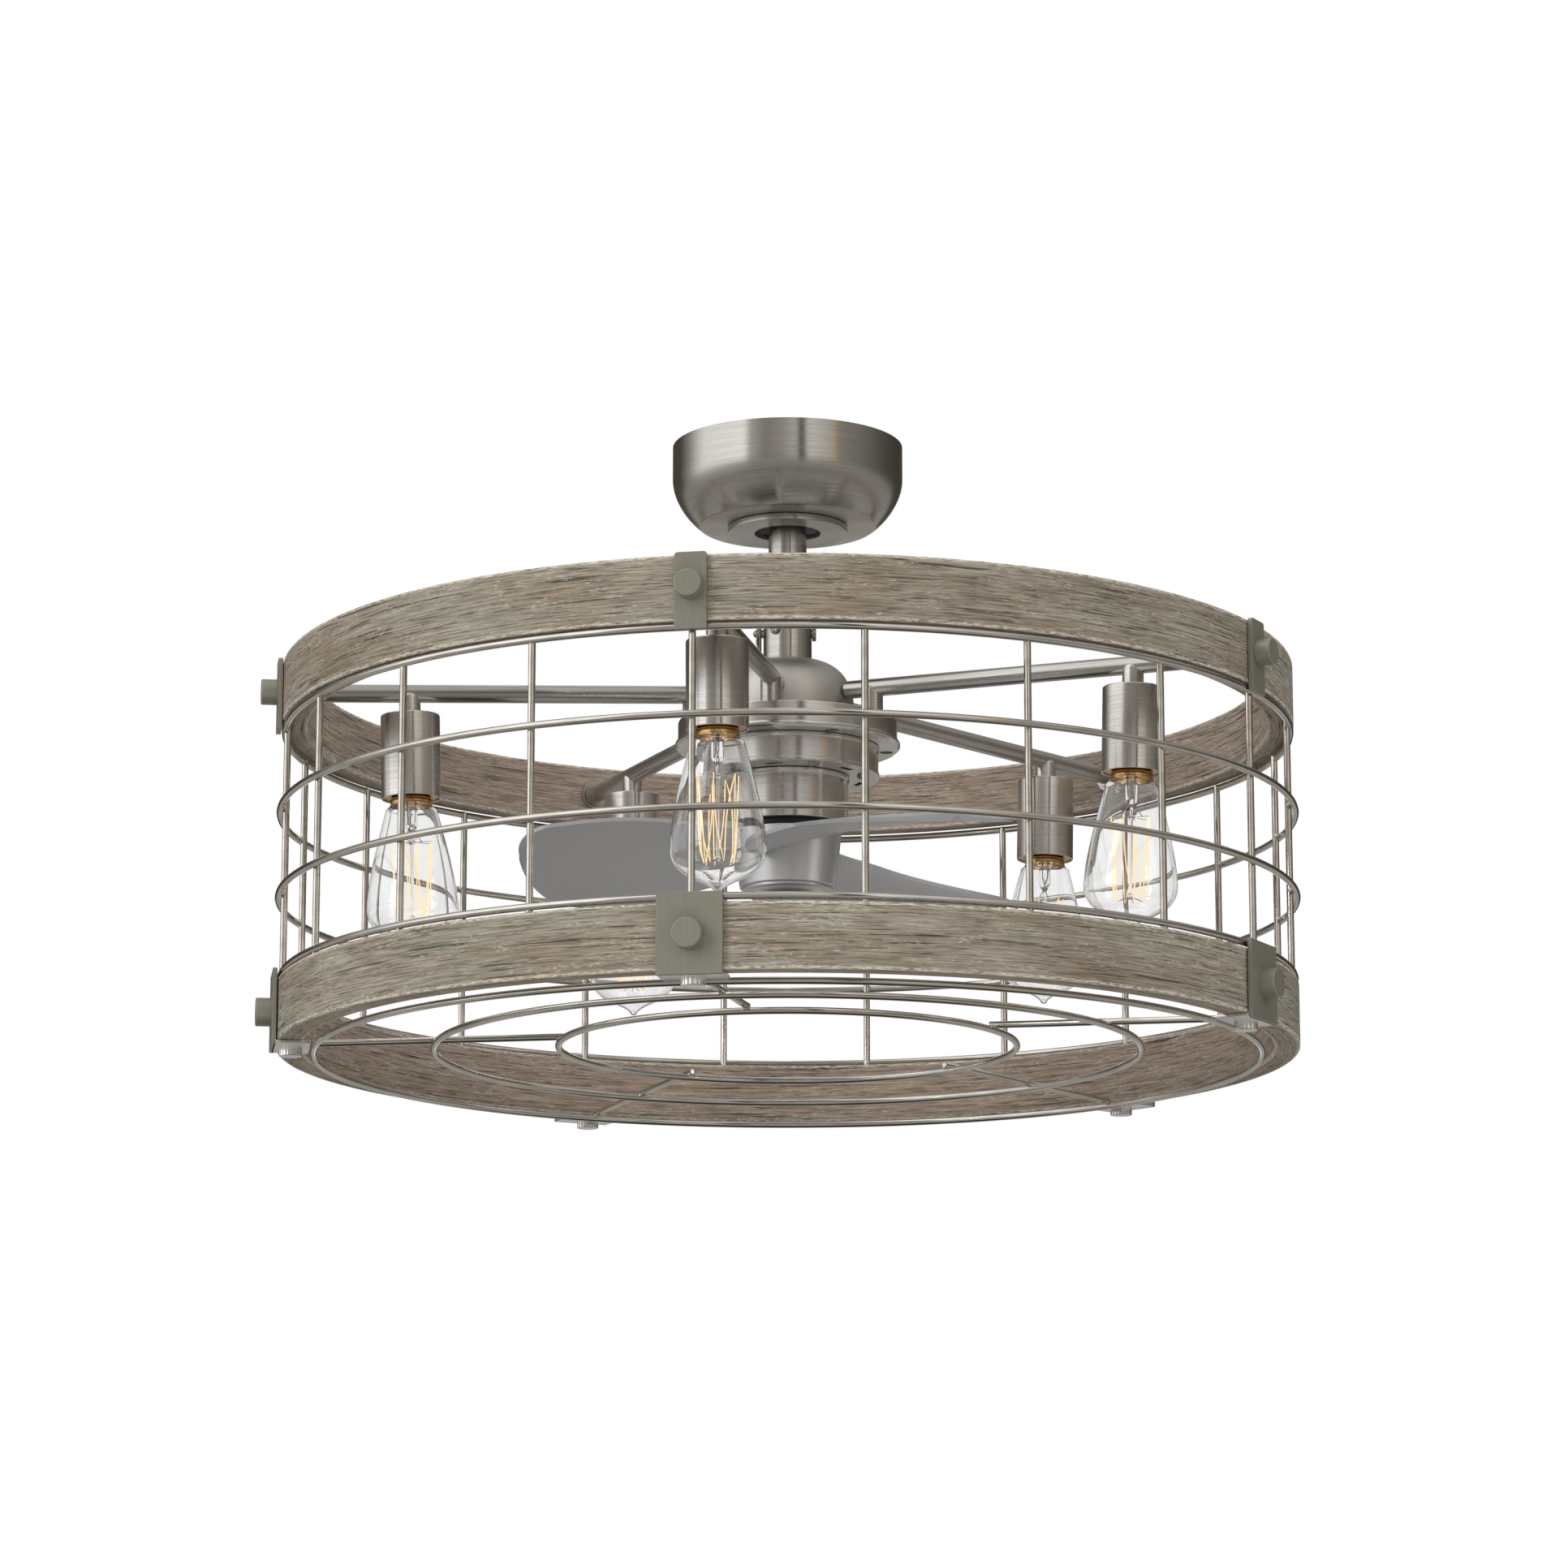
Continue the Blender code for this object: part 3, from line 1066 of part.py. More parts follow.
def sockets(looks, frame):
    """A metal cup on a stem, with the threaded lamp holder inside it."""
    roof = CUP_TOP_Z - CUP_ROOF
    holder_bottom = CUP_BOTTOM_Z + HOLDER_RECESS
    arm_z = arm_height(LAMP_CIRCLE_RADIUS)
    profile = [
        (0, arm_z - STEM_SADDLE_DROP),
        (STEM_RADIUS, arm_z - STEM_SADDLE_DROP),
        (STEM_RADIUS, CUP_TOP_Z),
        (CUP_RADIUS, CUP_TOP_Z),
        (CUP_RADIUS, CUP_BOTTOM_Z),
        (CUP_RADIUS - CUP_WALL, CUP_BOTTOM_Z),
        (CUP_RADIUS - CUP_WALL, roof),
        (HOLDER_RADIUS, roof),
        (HOLDER_RADIUS, holder_bottom),
        (HOLDER_BORE_RADIUS, holder_bottom),
        (HOLDER_BORE_RADIUS, roof - HOLDER_ROOF),
        (0, roof - HOLDER_ROOF),
    ]
    cup = lathe("socket", profile, LAMP_SEGMENTS, False)
    hang_on_arm(cup)
    saddle = slanted_cylinder("saddle", ARM_RADIUS + SEAT_GAP, (ARM_INNER_RADIUS, 0, ARM_INNER_Z),
                              (ARM_OUTER_RADIUS, 0, ARM_OUTER_Z), SMALL_SEGMENTS)
    finish_ring(cut(cup, saddle), looks["nickel"], frame, LAMP_COUNT, FIRST_ARM_ANGLE)


def bulbs(looks, frame):
    """Pear-shaped lamps, each with its screw cap up inside the lamp holder."""
    cap_top = CUP_TOP_Z - CUP_ROOF - HOLDER_ROOF - SEAT_GAP
    cap_shoulder = cap_top - BULB_CAP_RADIUS / 4
    cap_bottom = cap_top - BULB_CAP_HEIGHT
    profile = [(0, cap_top), (BULB_CAP_RADIUS / 2, cap_top), (BULB_CAP_RADIUS, cap_shoulder),
               (BULB_CAP_RADIUS, cap_bottom), (BULB_CAP_RADIUS, CUP_BOTTOM_Z + HOLDER_RECESS)]
    for drop_share, radius_share in BULB_OUTLINE_SHARES:
        profile.append((radius_share * BULB_RADIUS, CUP_BOTTOM_Z - SEAT_GAP - drop_share * BULB_BELOW_CUP))
    bulb = lathe("bulb", profile, LAMP_SEGMENTS, False)
    hang_on_arm(bulb)
    finish_ring(bulb, looks["glass"], frame, LAMP_COUNT, FIRST_ARM_ANGLE)


def top_brackets(looks, frame):
    """The strap that hangs the cage's top wire on the wood ring."""
    top = TOP_RING_Z + TOP_PLATE_RISE
    bottom = TOP_WIRE_Z - WIRE_RADIUS
    plate = block("top_bracket", (BRACKET_RADIUS, -TOP_PLATE_WIDTH / 2, bottom),
                  (BRACKET_RADIUS + TOP_PLATE_THICKNESS, TOP_PLATE_WIDTH / 2, top))
    plate = bevel_edges(plate, TOP_PLATE_CORNER, lambda edge: all(
        vert.co.z > TOP_RING_Z and abs(vert.co.y) > TOP_PLATE_WIDTH / 4 for vert in edge.verts)
        and abs(edge.verts[0].co.x - edge.verts[1].co.x) > TOP_PLATE_THICKNESS / 2)
    hole = radial_cylinder("hole", STUD_RADIUS + SEAT_GAP, RING_RADIUS - OVERRUN,
                           BRACKET_RADIUS + TOP_PLATE_THICKNESS + OVERRUN, TOP_KNOB_Z, FASTENER_SEGMENTS)
    finish_ring(cut(plate, hole), looks["bracket"], frame, LAMP_COUNT, FIRST_ARM_ANGLE)


def knob(name, stud_start, head_start, radius, height):
    """A round knob on a stud, along +X."""
    stud = radial_cylinder(name, STUD_RADIUS, stud_start, head_start + TOP_KNOB_LENGTH / 2, height,
                           FASTENER_SEGMENTS)
    head = radial_cylinder("head", radius, head_start, head_start + TOP_KNOB_LENGTH, height, SMALL_SEGMENTS)
    far = head_start + TOP_KNOB_LENGTH / 2
    head = bevel_edges(head, KNOB_EDGE, lambda edge: all(vert.co.x > far for vert in edge.verts))
    return union(stud, head)


def top_knobs(looks, frame):
    """The knob's stud goes through the strap and the wood into the arm."""
    head_start = BRACKET_RADIUS + TOP_PLATE_THICKNESS + SEAT_GAP
    made = knob("top_knob", ARM_OUTER_RADIUS - STUD_REACH_IN_ARM, head_start, TOP_KNOB_RADIUS, TOP_KNOB_Z)
    finish_ring(made, looks["bracket"], frame, LAMP_COUNT, FIRST_ARM_ANGLE)


def fluted_nut():
    nut = cylinder("nut", NUT_RADIUS, FOOT_BOTTOM_Z - NUT_HEIGHT, FOOT_BOTTOM_Z + FOOT_THICKNESS / 4,
                   2 * NUT_FLUTES, (NUT_CIRCLE_RADIUS, 0))
    centre = Vector((NUT_CIRCLE_RADIUS, 0))
    for vert in nut.data.vertices:
        away = vert.co.xy - centre
        turn = round(math.atan2(away.y, away.x) / (math.tau / (2 * NUT_FLUTES)))
        if turn % 2:
            vert.co.xy = centre + away * (1 - NUT_FLUTE_DEPTH / NUT_RADIUS)
    return nut


def bottom_brackets(looks, frame):
    """An angle plate outside and under the wood, with its knob, its fluted nut and their studs."""
    outer = BRACKET_RADIUS + BOTTOM_PLATE_THICKNESS
    plate = block("bottom_bracket", (BRACKET_RADIUS, -BOTTOM_PLATE_WIDTH / 2, FOOT_BOTTOM_Z),
                  (outer, BOTTOM_PLATE_WIDTH / 2, BOTTOM_PLATE_TOP_Z))
    foot = block("foot", (FOOT_INNER_RADIUS, -BOTTOM_PLATE_WIDTH / 2, FOOT_BOTTOM_Z),
                 (outer - BOTTOM_PLATE_THICKNESS / 2, BOTTOM_PLATE_WIDTH / 2, FOOT_TOP_Z))
    side_knob = knob("side_knob", RING_RADIUS - BOTTOM_STUD_REACH, outer - KNOB_EDGE, BOTTOM_KNOB_RADIUS,
                     BOTTOM_KNOB_Z)
    stud = cylinder("stud", STUD_RADIUS, FOOT_BOTTOM_Z - NUT_HEIGHT / 2, FOOT_TOP_Z + BOTTOM_STUD_REACH,
                    FASTENER_SEGMENTS, (NUT_CIRCLE_RADIUS, 0))
    bracket = union(plate, foot, side_knob, stud, fluted_nut())
    finish_ring(bracket, looks["bracket"], frame, LAMP_COUNT, FIRST_ARM_ANGLE)


def main():
    looks = make_materials()
    ceiling = make_frame("ceiling_frame", 0)
    ball = make_frame("ball_frame", BALL_CENTRE_Z, ceiling)
    pendant = make_frame("pendant_frame", BALL_CENTRE_Z, ball)
    rotor = make_frame("rotor_frame", HUB_TOP_Z, pendant)

    for build in (ceiling_bracket, canopy, canopy_cover, receiver_module):
        build(looks, ceiling)
    hanger_ball(looks, ball)
    for build in (downrod, coupling, clevis_pin, hairpin_clip, coupling_screw, motor_dome, arm_flange,
                  motor_casings, neck_ring, motor_shaft, stator_core, wood_rings, cage, bottom_grille, arms,
                  sockets, bulbs, top_brackets, top_knobs, bottom_brackets):
        build(looks, pendant)
    for build in (blade_hub, hub_cap, magnet_ring, bearings, blades):
        build(looks, rotor)


clear_scene()
PARTS = make_collection("chandelier ceiling fan")
main()
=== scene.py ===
"""Looks of a caged chandelier fan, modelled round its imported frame.

Lengths are in metres. +Z is up, the ceiling is at height zero and the fan's axis is at X = Y = 0.
A piece that repeats round the axis is modelled along +X, then its mesh is turned into place.
"""
import math

import bmesh
import bpy
from bpy.props import FloatProperty, FloatVectorProperty, IntProperty, PointerProperty
from mathutils import Matrix, Vector
from mathutils.geometry import interpolate_bezier


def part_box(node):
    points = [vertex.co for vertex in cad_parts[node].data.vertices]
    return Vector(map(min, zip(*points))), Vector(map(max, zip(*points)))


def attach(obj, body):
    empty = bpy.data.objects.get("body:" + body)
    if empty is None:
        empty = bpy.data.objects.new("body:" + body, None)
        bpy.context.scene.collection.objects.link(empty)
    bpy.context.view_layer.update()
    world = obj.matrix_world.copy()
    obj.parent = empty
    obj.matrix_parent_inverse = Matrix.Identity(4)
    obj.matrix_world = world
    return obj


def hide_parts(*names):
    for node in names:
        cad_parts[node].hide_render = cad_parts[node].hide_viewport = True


bl_info = {
    "name": "Caged chandelier fan",
    "version": (1, 0, 0),
    "blender": (4, 5, 0),
    "location": "3D View > Sidebar > Fan",
    "description": "Models the looks of a caged chandelier fan with bentwood rings",
    "category": "Add Mesh",
}

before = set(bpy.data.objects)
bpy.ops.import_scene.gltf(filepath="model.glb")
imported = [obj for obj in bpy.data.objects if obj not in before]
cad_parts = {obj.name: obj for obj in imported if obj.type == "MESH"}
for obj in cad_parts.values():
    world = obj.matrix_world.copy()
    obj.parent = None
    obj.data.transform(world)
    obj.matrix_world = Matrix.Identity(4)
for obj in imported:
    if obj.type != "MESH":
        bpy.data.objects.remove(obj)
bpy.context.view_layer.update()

# Counts and angles, as in the frame
ARM_COUNT = 5
FIRST_ARM_ANGLE = math.radians(-100)
BLADE_COUNT = 3
FIRST_BLADE_ANGLE = math.radians(-60)
CAGE_ROD_COUNT = 20
VENT_COUNT = 6

# Radii and distances from the axis that several pieces share, as in the frame
SHAFT_BORE = 0.0083
CASING_BORE = 0.0390
FLANGE_BORE = 0.0400
ARM_START = 0.0487
ARM_END = 0.3344
RING_RADIUS = 0.3556
STRAP_INNER = 0.3559

# How finely round shapes are divided
RING_STEPS = 200
TURN_STEPS = 96
LAMP_STEPS = 48
SMALL_STEPS = 32
WIRE_STEPS = 12
CURVE_STEPS = 8
MERGE_DISTANCE = 0.000002
SHARP_ANGLE = math.radians(40)
BEVEL_ANGLE = math.radians(32)

# The camera's place, pitch and lens, in metres, radians and millimetres
CAMERA_PLACE = (-0.00256, -3.43705, -0.9662)
CAMERA_PITCH = math.radians(101.854)
CAMERA_LENS = 114.39
CAMERA_SENSOR = 36.0


def hex_colour(code):
    """An sRGB hex colour as linear red, green, blue and alpha."""
    channels = [int(code[start:start + 2], 16) / 255 for start in (1, 3, 5)]
    linear = [value / 12.92 if value <= 0.04045 else ((value + 0.055) / 1.055) ** 2.4
              for value in channels]
    return (*linear, 1.0)


def colour_property(name, description, code):
    return FloatVectorProperty(name=name, description=description, subtype="COLOR", size=4,
                               min=0, max=1, default=hex_colour(code))


def length_property(name, description, default):
    return FloatProperty(name=name, description=description, default=default, min=0, unit="LENGTH",
                         precision=5)


def power_property(name, description, default):
    return FloatProperty(name=name, description=description, default=default, min=0, unit="POWER")


class FanCanopySizes(bpy.types.PropertyGroup):
    """The canopy, its cover plate and the downrod."""
    wall: length_property("Wall", "Thickness of the spun canopy", 0.0012)
    side_share: FloatProperty(name="Side", description="Share of the drop that is straight side",
                              default=0.41, min=0, max=1, subtype="FACTOR")
    flat_share: FloatProperty(name="Flat",
                              description="Radius of the flat bottom, as a share of the rim's",
                              default=0.755, min=0, max=1, subtype="FACTOR")
    cover_hole: length_property("Cover hole", "Radius of the cover plate's hole", 0.0234)
    rod_wall: length_property("Rod wall", "Wall of the downrod", 0.002)
    screw_radius: length_property("Screw", "Radius of a small screw's head", 0.0037)
    screw_height: length_property("Screw height", "Height of a small screw's head", 0.0021)
    clip_wire: length_property("Clip wire", "Radius of the hairpin clip's wire", 0.0010)


class FanMotorSizes(bpy.types.PropertyGroup):
    """The dome, the flange, the casings and the hub."""
    edge: length_property("Edge", "Rounding of the pressed edges", 0.0009)
    wall: length_property("Wall", "Thickness of the pressed steel", 0.0015)
    hole_radius: length_property("Hole", "Radius of the screw holes under the flange", 0.0046)
    hole_circle: length_property("Hole circle", "Distance of those holes from the axis", 0.0705)
    screw_circle: length_property("Screw circle", "Distance of the casing's screws from the axis",
                                  0.0535)
    vent_length: length_property("Vent length", "Length of a slot under the casing", 0.012)
    vent_width: length_property("Vent width", "Width of a slot under the casing", 0.004)


class FanBladeSizes(bpy.types.PropertyGroup):
    """One blade, as it leaves the hub."""
    root_radius: length_property("Root", "Where the blade leaves the hub", 0.036)
    tip_radius: length_property("Tip", "Distance of the tip from the axis", 0.1876)
    high_side: length_property("High side", "Widest reach on the raised side", 0.064)
    low_side: length_property("Low side", "Widest reach on the lowered side", 0.112)
    thickness: length_property("Thickness", "Thickness of the blade", 0.0026)
    root_thickness: length_property("Root thickness", "Thickness where it meets the hub", 0.005)
    root_drop: length_property("Root drop", "How far the root is below the ceiling", 0.2882)
    droop: length_property("Droop", "How much lower the tip is than the root", 0.0126)
    sweep: length_property("Sweep", "How far the tip is swept sideways", 0.0243)
    camber: length_property("Camber", "Rise of the blade's middle at the tip", 0.004)
    root_pitch: FloatProperty(name="Root pitch", description="Pitch at the root", subtype="ANGLE",
                              default=math.radians(17.4))
    tip_pitch: FloatProperty(name="Tip pitch", description="Pitch at the tip", subtype="ANGLE",
                             default=math.radians(5.2))


class FanArmSizes(bpy.types.PropertyGroup):
    """The arms that carry the lamps."""
    radius: length_property("Tube", "Radius of the arm's tube", 0.00635)
    inner_drop: length_property("Inner end", "How far the inner end is below the ceiling", 0.182)
    post_circle: length_property("Post circle", "Distance of the posts from the axis", 0.0675)
    post_radius: length_property("Post", "Radius of a post", 0.0072)
    washer_radius: length_property("Washer", "Radius of the washer at the wood", 0.011)
    washer_thickness: length_property("Washer thickness", "Thickness of that washer", 0.0023)
    collar_length: length_property("Collar", "Length of the collar beside the washer", 0.0042)


class FanLampSizes(bpy.types.PropertyGroup):
    """The lamp cups and the lamps in them."""
    circle: length_property("Lamp circle", "Distance of the lamps from the axis", 0.267)
    cup_radius: length_property("Cup", "Radius of a lamp cup", 0.0207)
    cup_drop: length_property("Cup top", "How far the cup's top is below the ceiling", 0.204)
    cup_height: length_property("Cup height", "Height of a lamp cup", 0.0595)
    cup_wall: length_property("Cup wall", "Wall of a lamp cup", 0.0012)
    stem_radius: length_property("Stem", "Radius of the stem between arm and cup", 0.0073)
    holder_radius: length_property("Holder", "Radius of the threaded brass shell", 0.0158)
    glass_radius: length_property("Glass", "Widest radius of the glass", 0.032)
    glass_length: length_property("Glass length", "Glass below the cup's rim", 0.1082)
    glass_wall: length_property("Glass wall", "Thickness of the glass", 0.0011)
    filament_radius: length_property("Filament", "Radius that a glowing strand shows", 0.00038)
    strand_count: IntProperty(name="Strands", description="Pairs of glowing strands", default=7, min=3)


class FanRingSizes(bpy.types.PropertyGroup):
    """The two bentwood rings."""
    thickness: length_property("Thickness", "Thickness of the wood", 0.018)
    edge: length_property("Edge", "Rounding of the wood's edges", 0.0012)
    wear: length_property("Wear", "Width of the worn, paler band along an edge", 0.0028)


class FanWireSizes(bpy.types.PropertyGroup):
    """The cage and the grille under it."""
    wire: length_property("Wire", "Radius of the hoops' wire", 0.00245)
    rod: length_property("Rod", "Radius of the upright rods", 0.0024)
    end_hoop: length_property("End hoops", "Radius of the top and bottom hoops", 0.3530)
    middle_hoop: length_property("Middle hoops", "Radius of the two middle hoops", 0.3555)
    upper_drop: length_property("Upper hoop", "How far down the upper middle hoop is", 0.2726)
    lower_drop: length_property("Lower hoop", "How far down the lower middle hoop is", 0.3329)
    rod_circle: length_property("Rod circle", "Distance of the rods from the axis", 0.3515)
    grille_outer: length_property("Outer hoop", "Radius of the grille's outer hoop", 0.3296)
    grille_middle: length_property("Middle hoop", "Radius of the grille's middle hoop", 0.2462)
    grille_inner: length_property("Inner hoop", "Radius of the grille's inner hoop", 0.1596)
    grille_drop: length_property("Grille", "How far the outer hoop is below the ceiling", 0.4408)
    middle_rise: length_property("Middle rise", "How much higher the middle hoop is", 0.0048)
    inner_rise: length_property("Inner rise", "How much higher the inner hoop is", 0.0085)
    spoke_lift: length_property("Spoke lift", "How far the spokes are above the hoops", 0.0038)
    spoke_overhang: length_property("Spoke end", "How far a spoke passes the inner hoop", 0.0034)


class FanBracketSizes(bpy.types.PropertyGroup):
    """The straps on the wood, with their knobs and nuts."""
    top_width: length_property("Top width", "Width of a top strap", 0.0212)
    top_thickness: length_property("Top thickness", "Thickness of a top strap", 0.0035)
    top_corner: length_property("Top corner", "Rounding of a top strap's corners", 0.0022)
    bottom_width: length_property("Bottom width", "Width of a bottom strap", 0.043)
    bottom_thickness: length_property("Bottom thickness", "Thickness of a bottom strap", 0.0032)
    foot_thickness: length_property("Foot", "Thickness of the strap's foot", 0.003)
    top_knob: length_property("Top knob", "Radius of a top knob", 0.0090)
    bottom_knob: length_property("Bottom knob", "Radius of a bottom knob", 0.0099)
    knob_length: length_property("Knob length", "Length of a knob", 0.011)
    edge: length_property("Edge", "Rounding of the edges", 0.0005)
    nut_radius: length_property("Nut", "Radius of the fluted nut", 0.008)
    nut_circle: length_property("Nut circle", "Distance of the nuts from the axis", 0.345)
    nut_flutes: IntProperty(name="Flutes", description="Flutes round a nut", default=24, min=6)


class FanColours(bpy.types.PropertyGroup):
    """Colours of the finishes."""
    nickel: colour_property("Nickel", "Brushed nickel plate", "#C9C6C0")
    # Painted light: the casings, the flange and the cups take a lighter copy of the brushed nickel,
    # for the brighter light on them
    casing: colour_property("Casing", "Brushed nickel of the casings and cups", "#E2DFDA")
    foot: colour_property("Foot", "Bright plating of the strap feet and nuts", "#F2F1EE")
    clip: colour_property("Clip", "Spring steel of the hairpin clip", "#6A6762")
    wire: colour_property("Wire", "Bright nickel wire", "#DAD6CE")
    bracket: colour_property("Bracket", "Warm grey satin of the straps", "#918E82")
    wood_light: colour_property("Wood", "Weathered wood", "#A59D8D")
    wood_brown: colour_property("Wood brown", "Browner stretches of the wood", "#938472")
    wood_green: colour_property("Wood green", "Grey-green stretches of the wood", "#98978A")
    # Painted light: the inner faces are painted lighter and warmer than the rest of the wood, for the
    # light that reaches them
    inside_painted_light: colour_property("Wood inside", "Warmer wood on the inner faces", "#AE9A8A")
    wood_dark: colour_property("Wood grain", "Dark fibres and cracks", "#40382D")
    wood_fleck: colour_property("Wood flecks", "Pale flecks and worn edges", "#CFC9BC")
    hub: colour_property("Hub", "Cast hub under the motor", "#EDEDEF")
    blade: colour_property("Blade", "Silver paint of the blades", "#B3B4B7")
    filament: colour_property("Filament", "Glow of the strands", "#FFDCA4")
    brass: colour_property("Brass", "Lamp holder shell", "#DDB681")
    zinc: colour_property("Zinc", "Screws and pins", "#9D9B97")
    black: colour_property("Black", "Plastic parts", "#17171A")
    laminations: colour_property("Laminations", "Motor core", "#55524F")
    floor: colour_property("Floor", "Floor of the studio", "#C2C0BB")


class FanStudioSizes(bpy.types.PropertyGroup):
    """The floor and the lights."""
    floor_drop: length_property("Floor", "How far the floor is below the ceiling", 2.6)
    floor_size: length_property("Floor size", "Width of the floor", 44.0)
    key_power: power_property("Key", "Power of the left softbox", 33)
    fill_power: power_property("Fill", "Power of the right softbox", 14)
    top_power: power_property("Top", "Power of the overhead softbox", 22)
    bounce_power: power_property("Bounce", "Power of the low softbox in front", 16)
    surround: FloatProperty(name="Surround", description="Strength of the soft light all round",
                            default=0.62, min=0)


class FanSettings(bpy.types.PropertyGroup):
    """Everything that the operators read."""
    canopy: PointerProperty(type=FanCanopySizes)
    motor: PointerProperty(type=FanMotorSizes)
    blades: PointerProperty(type=FanBladeSizes)
    arms: PointerProperty(type=FanArmSizes)
    lamps: PointerProperty(type=FanLampSizes)
    rings: PointerProperty(type=FanRingSizes)
    wires: PointerProperty(type=FanWireSizes)
    brackets: PointerProperty(type=FanBracketSizes)
    colours: PointerProperty(type=FanColours)
    studio: PointerProperty(type=FanStudioSizes)


def settings():
    return bpy.context.scene.fan_settings


# Materials

# Nearly all the values of a noise lie in this span
NOISE_SPAN = {"From Min": 0.3, "From Max": 0.7}
GRAIN_ROUGHNESS = 0.55


def set_inputs(tree, node, inputs):
    """Give a node's sockets values or links. A node given as a value stands for its shown output."""
    for name, value in inputs.items():
        if isinstance(value, bpy.types.Node):
            value = next(socket for socket in value.outputs if socket.enabled)
        if isinstance(value, bpy.types.NodeSocket):
            tree.links.new(value, node.inputs[name])
        else:
            node.inputs[name].default_value = value


def add_node(tree, kind, inputs=None, **values):
    """Add a node of a kind, such as Mix, with its settings, its values and its links."""
    node = tree.nodes.new("ShaderNode" + kind)
    for name, value in values.items():
        setattr(node, name, value)
    set_inputs(tree, node, inputs or {})
    return node


def start_material(name, colour, metallic, roughness):
    """A material with a Principled shader, and the plain values that its patterns vary."""
    material = bpy.data.materials.new(name)
    material.use_nodes = True
    tree = material.node_tree
    shader = tree.nodes["Principled BSDF"]
    set_inputs(tree, shader, {"Base Color": colour, "Metallic": metallic, "Roughness": roughness})
    return material, tree, shader


def level_lines(tree, length, width, detail=2.0):
    """Fine level lines, about length long and width high."""
    place = add_node(tree, "TexCoord").outputs["Object"]
    stretched = add_node(tree, "VectorMath",
                         {0: place, 1: (1 / length, 1 / length, 1 / width)}, operation="MULTIPLY")
    return add_node(tree, "TexNoise", {"Vector": stretched, "Scale": 1.0, "Detail": detail,
                                       "Roughness": GRAIN_ROUGHNESS})


def streaks(tree, length, width, detail=2.0):
    """Grain that runs round the axis: each streak is about length long and width high or deep."""
    place = add_node(tree, "TexCoord").outputs["Object"]
    stretched = add_node(tree, "VectorMath",
                         {0: place, 1: (1 / length, 1 / length, 1 / width)}, operation="MULTIPLY")
    level = add_node(tree, "VectorMath", {0: place, 1: (1 / width, 1 / width, 0)},
                     operation="MULTIPLY")
    depth = add_node(tree, "VectorMath", {0: level}, operation="LENGTH")
    return add_node(tree, "TexNoise",
                    {"Vector": stretched, "W": depth, "Scale": 1.0, "Detail": detail,
                     "Roughness": GRAIN_ROUGHNESS}, noise_dimensions="4D")


def brushed_nickel(name, colour):
    """Nickel plate brushed round with fine grit: soft level lines that stretch highlights upright."""
    material, tree, shader = start_material(name, colour, 1.0, 0.3)
    # Real grit lines are about 0.05 mm wide and are drawn at 0.45 mm, so that they show
    lines = level_lines(tree, 0.06, 0.00045, 3.0)
    # Cloudy stretches of 90 x 30 mm, as plating has
    patches = level_lines(tree, 0.09, 0.03, 1.0)
    groove = [0.78 * level for level in colour[:3]] + [1.0]
    depth = add_node(tree, "MapRange", {"Value": lines, **NOISE_SPAN})
    fine = add_node(tree, "MapRange", {"Value": lines, **NOISE_SPAN, "To Max": 0.10})
    broad = add_node(tree, "MapRange",
                     {"Value": patches, **NOISE_SPAN, "To Min": 0.15, "To Max": 0.21})
    tint = add_node(tree, "Mix", {0: depth, 6: colour, 7: groove}, data_type="RGBA")
    set_inputs(tree, shader, {
        "Base Color": tint,
        "Roughness": add_node(tree, "Math", {0: fine, 1: broad}, operation="ADD"),
        "Anisotropic": 0.85,
        "Anisotropic Rotation": 0.25,
        "Tangent": add_node(tree, "Tangent", direction_type="RADIAL", axis="Z"),
        "Normal": add_node(tree, "Bump", {"Height": lines, "Distance": 0.00002,
                                          "Strength": 0.22}),
    })
    return material


def bright_wire(colours):
    """Nickel-plated drawn steel wire: smooth and bright, hardly duller in places."""
    material, tree, shader = start_material("Bright nickel wire", colours.wire, 1.0, 0.16)
    # Real drawing marks are under 0.1 mm wide. Patches of 30 x 8 mm stand for them and don't speckle
    marks = level_lines(tree, 0.03, 0.008, 1.0)
    gloss = add_node(tree, "MapRange",
                     {"Value": marks, **NOISE_SPAN, "To Min": 0.04, "To Max": 0.08})
    dull = add_node(tree, "MapRange", {"Value": marks, "From Min": 0.35, "From Max": 0.75})
    tint = add_node(tree, "Mix", {0: dull, 6: colours.wire, 7: hex_colour("#C6C1B7")},
                    data_type="RGBA")
    set_inputs(tree, shader, {"Base Color": tint, "Roughness": gloss})
    return material


def satin_strap(colours):
    """Steel with a warm grey satin lacquer: even, hardly glossy, with faint upright brushing."""
    material, tree, shader = start_material("Satin lacquered steel", colours.bracket, 0.45, 0.46)
    place = add_node(tree, "TexCoord").outputs["Object"]
    # Upright brushing lines, about 0.3 mm wide and 17 mm long
    upright = add_node(tree, "VectorMath", {0: place, 1: (3200, 3200, 60)}, operation="MULTIPLY")
    lines = add_node(tree, "TexNoise", {"Vector": upright, "Scale": 1.0, "Detail": 2.0})
    depth = add_node(tree, "MapRange", {"Value": lines, **NOISE_SPAN})
    tint = add_node(tree, "Mix", {0: depth, 6: colours.bracket, 7: hex_colour("#848175")},
                    data_type="RGBA")
    gloss = add_node(tree, "MapRange",
                     {"Value": lines, **NOISE_SPAN, "To Min": 0.33, "To Max": 0.43})
    bump = add_node(tree, "Bump", {"Height": lines, "Distance": 0.00002, "Strength": 0.4})
    set_inputs(tree, shader, {"Base Color": tint, "Roughness": gloss, "Normal": bump})
    return material


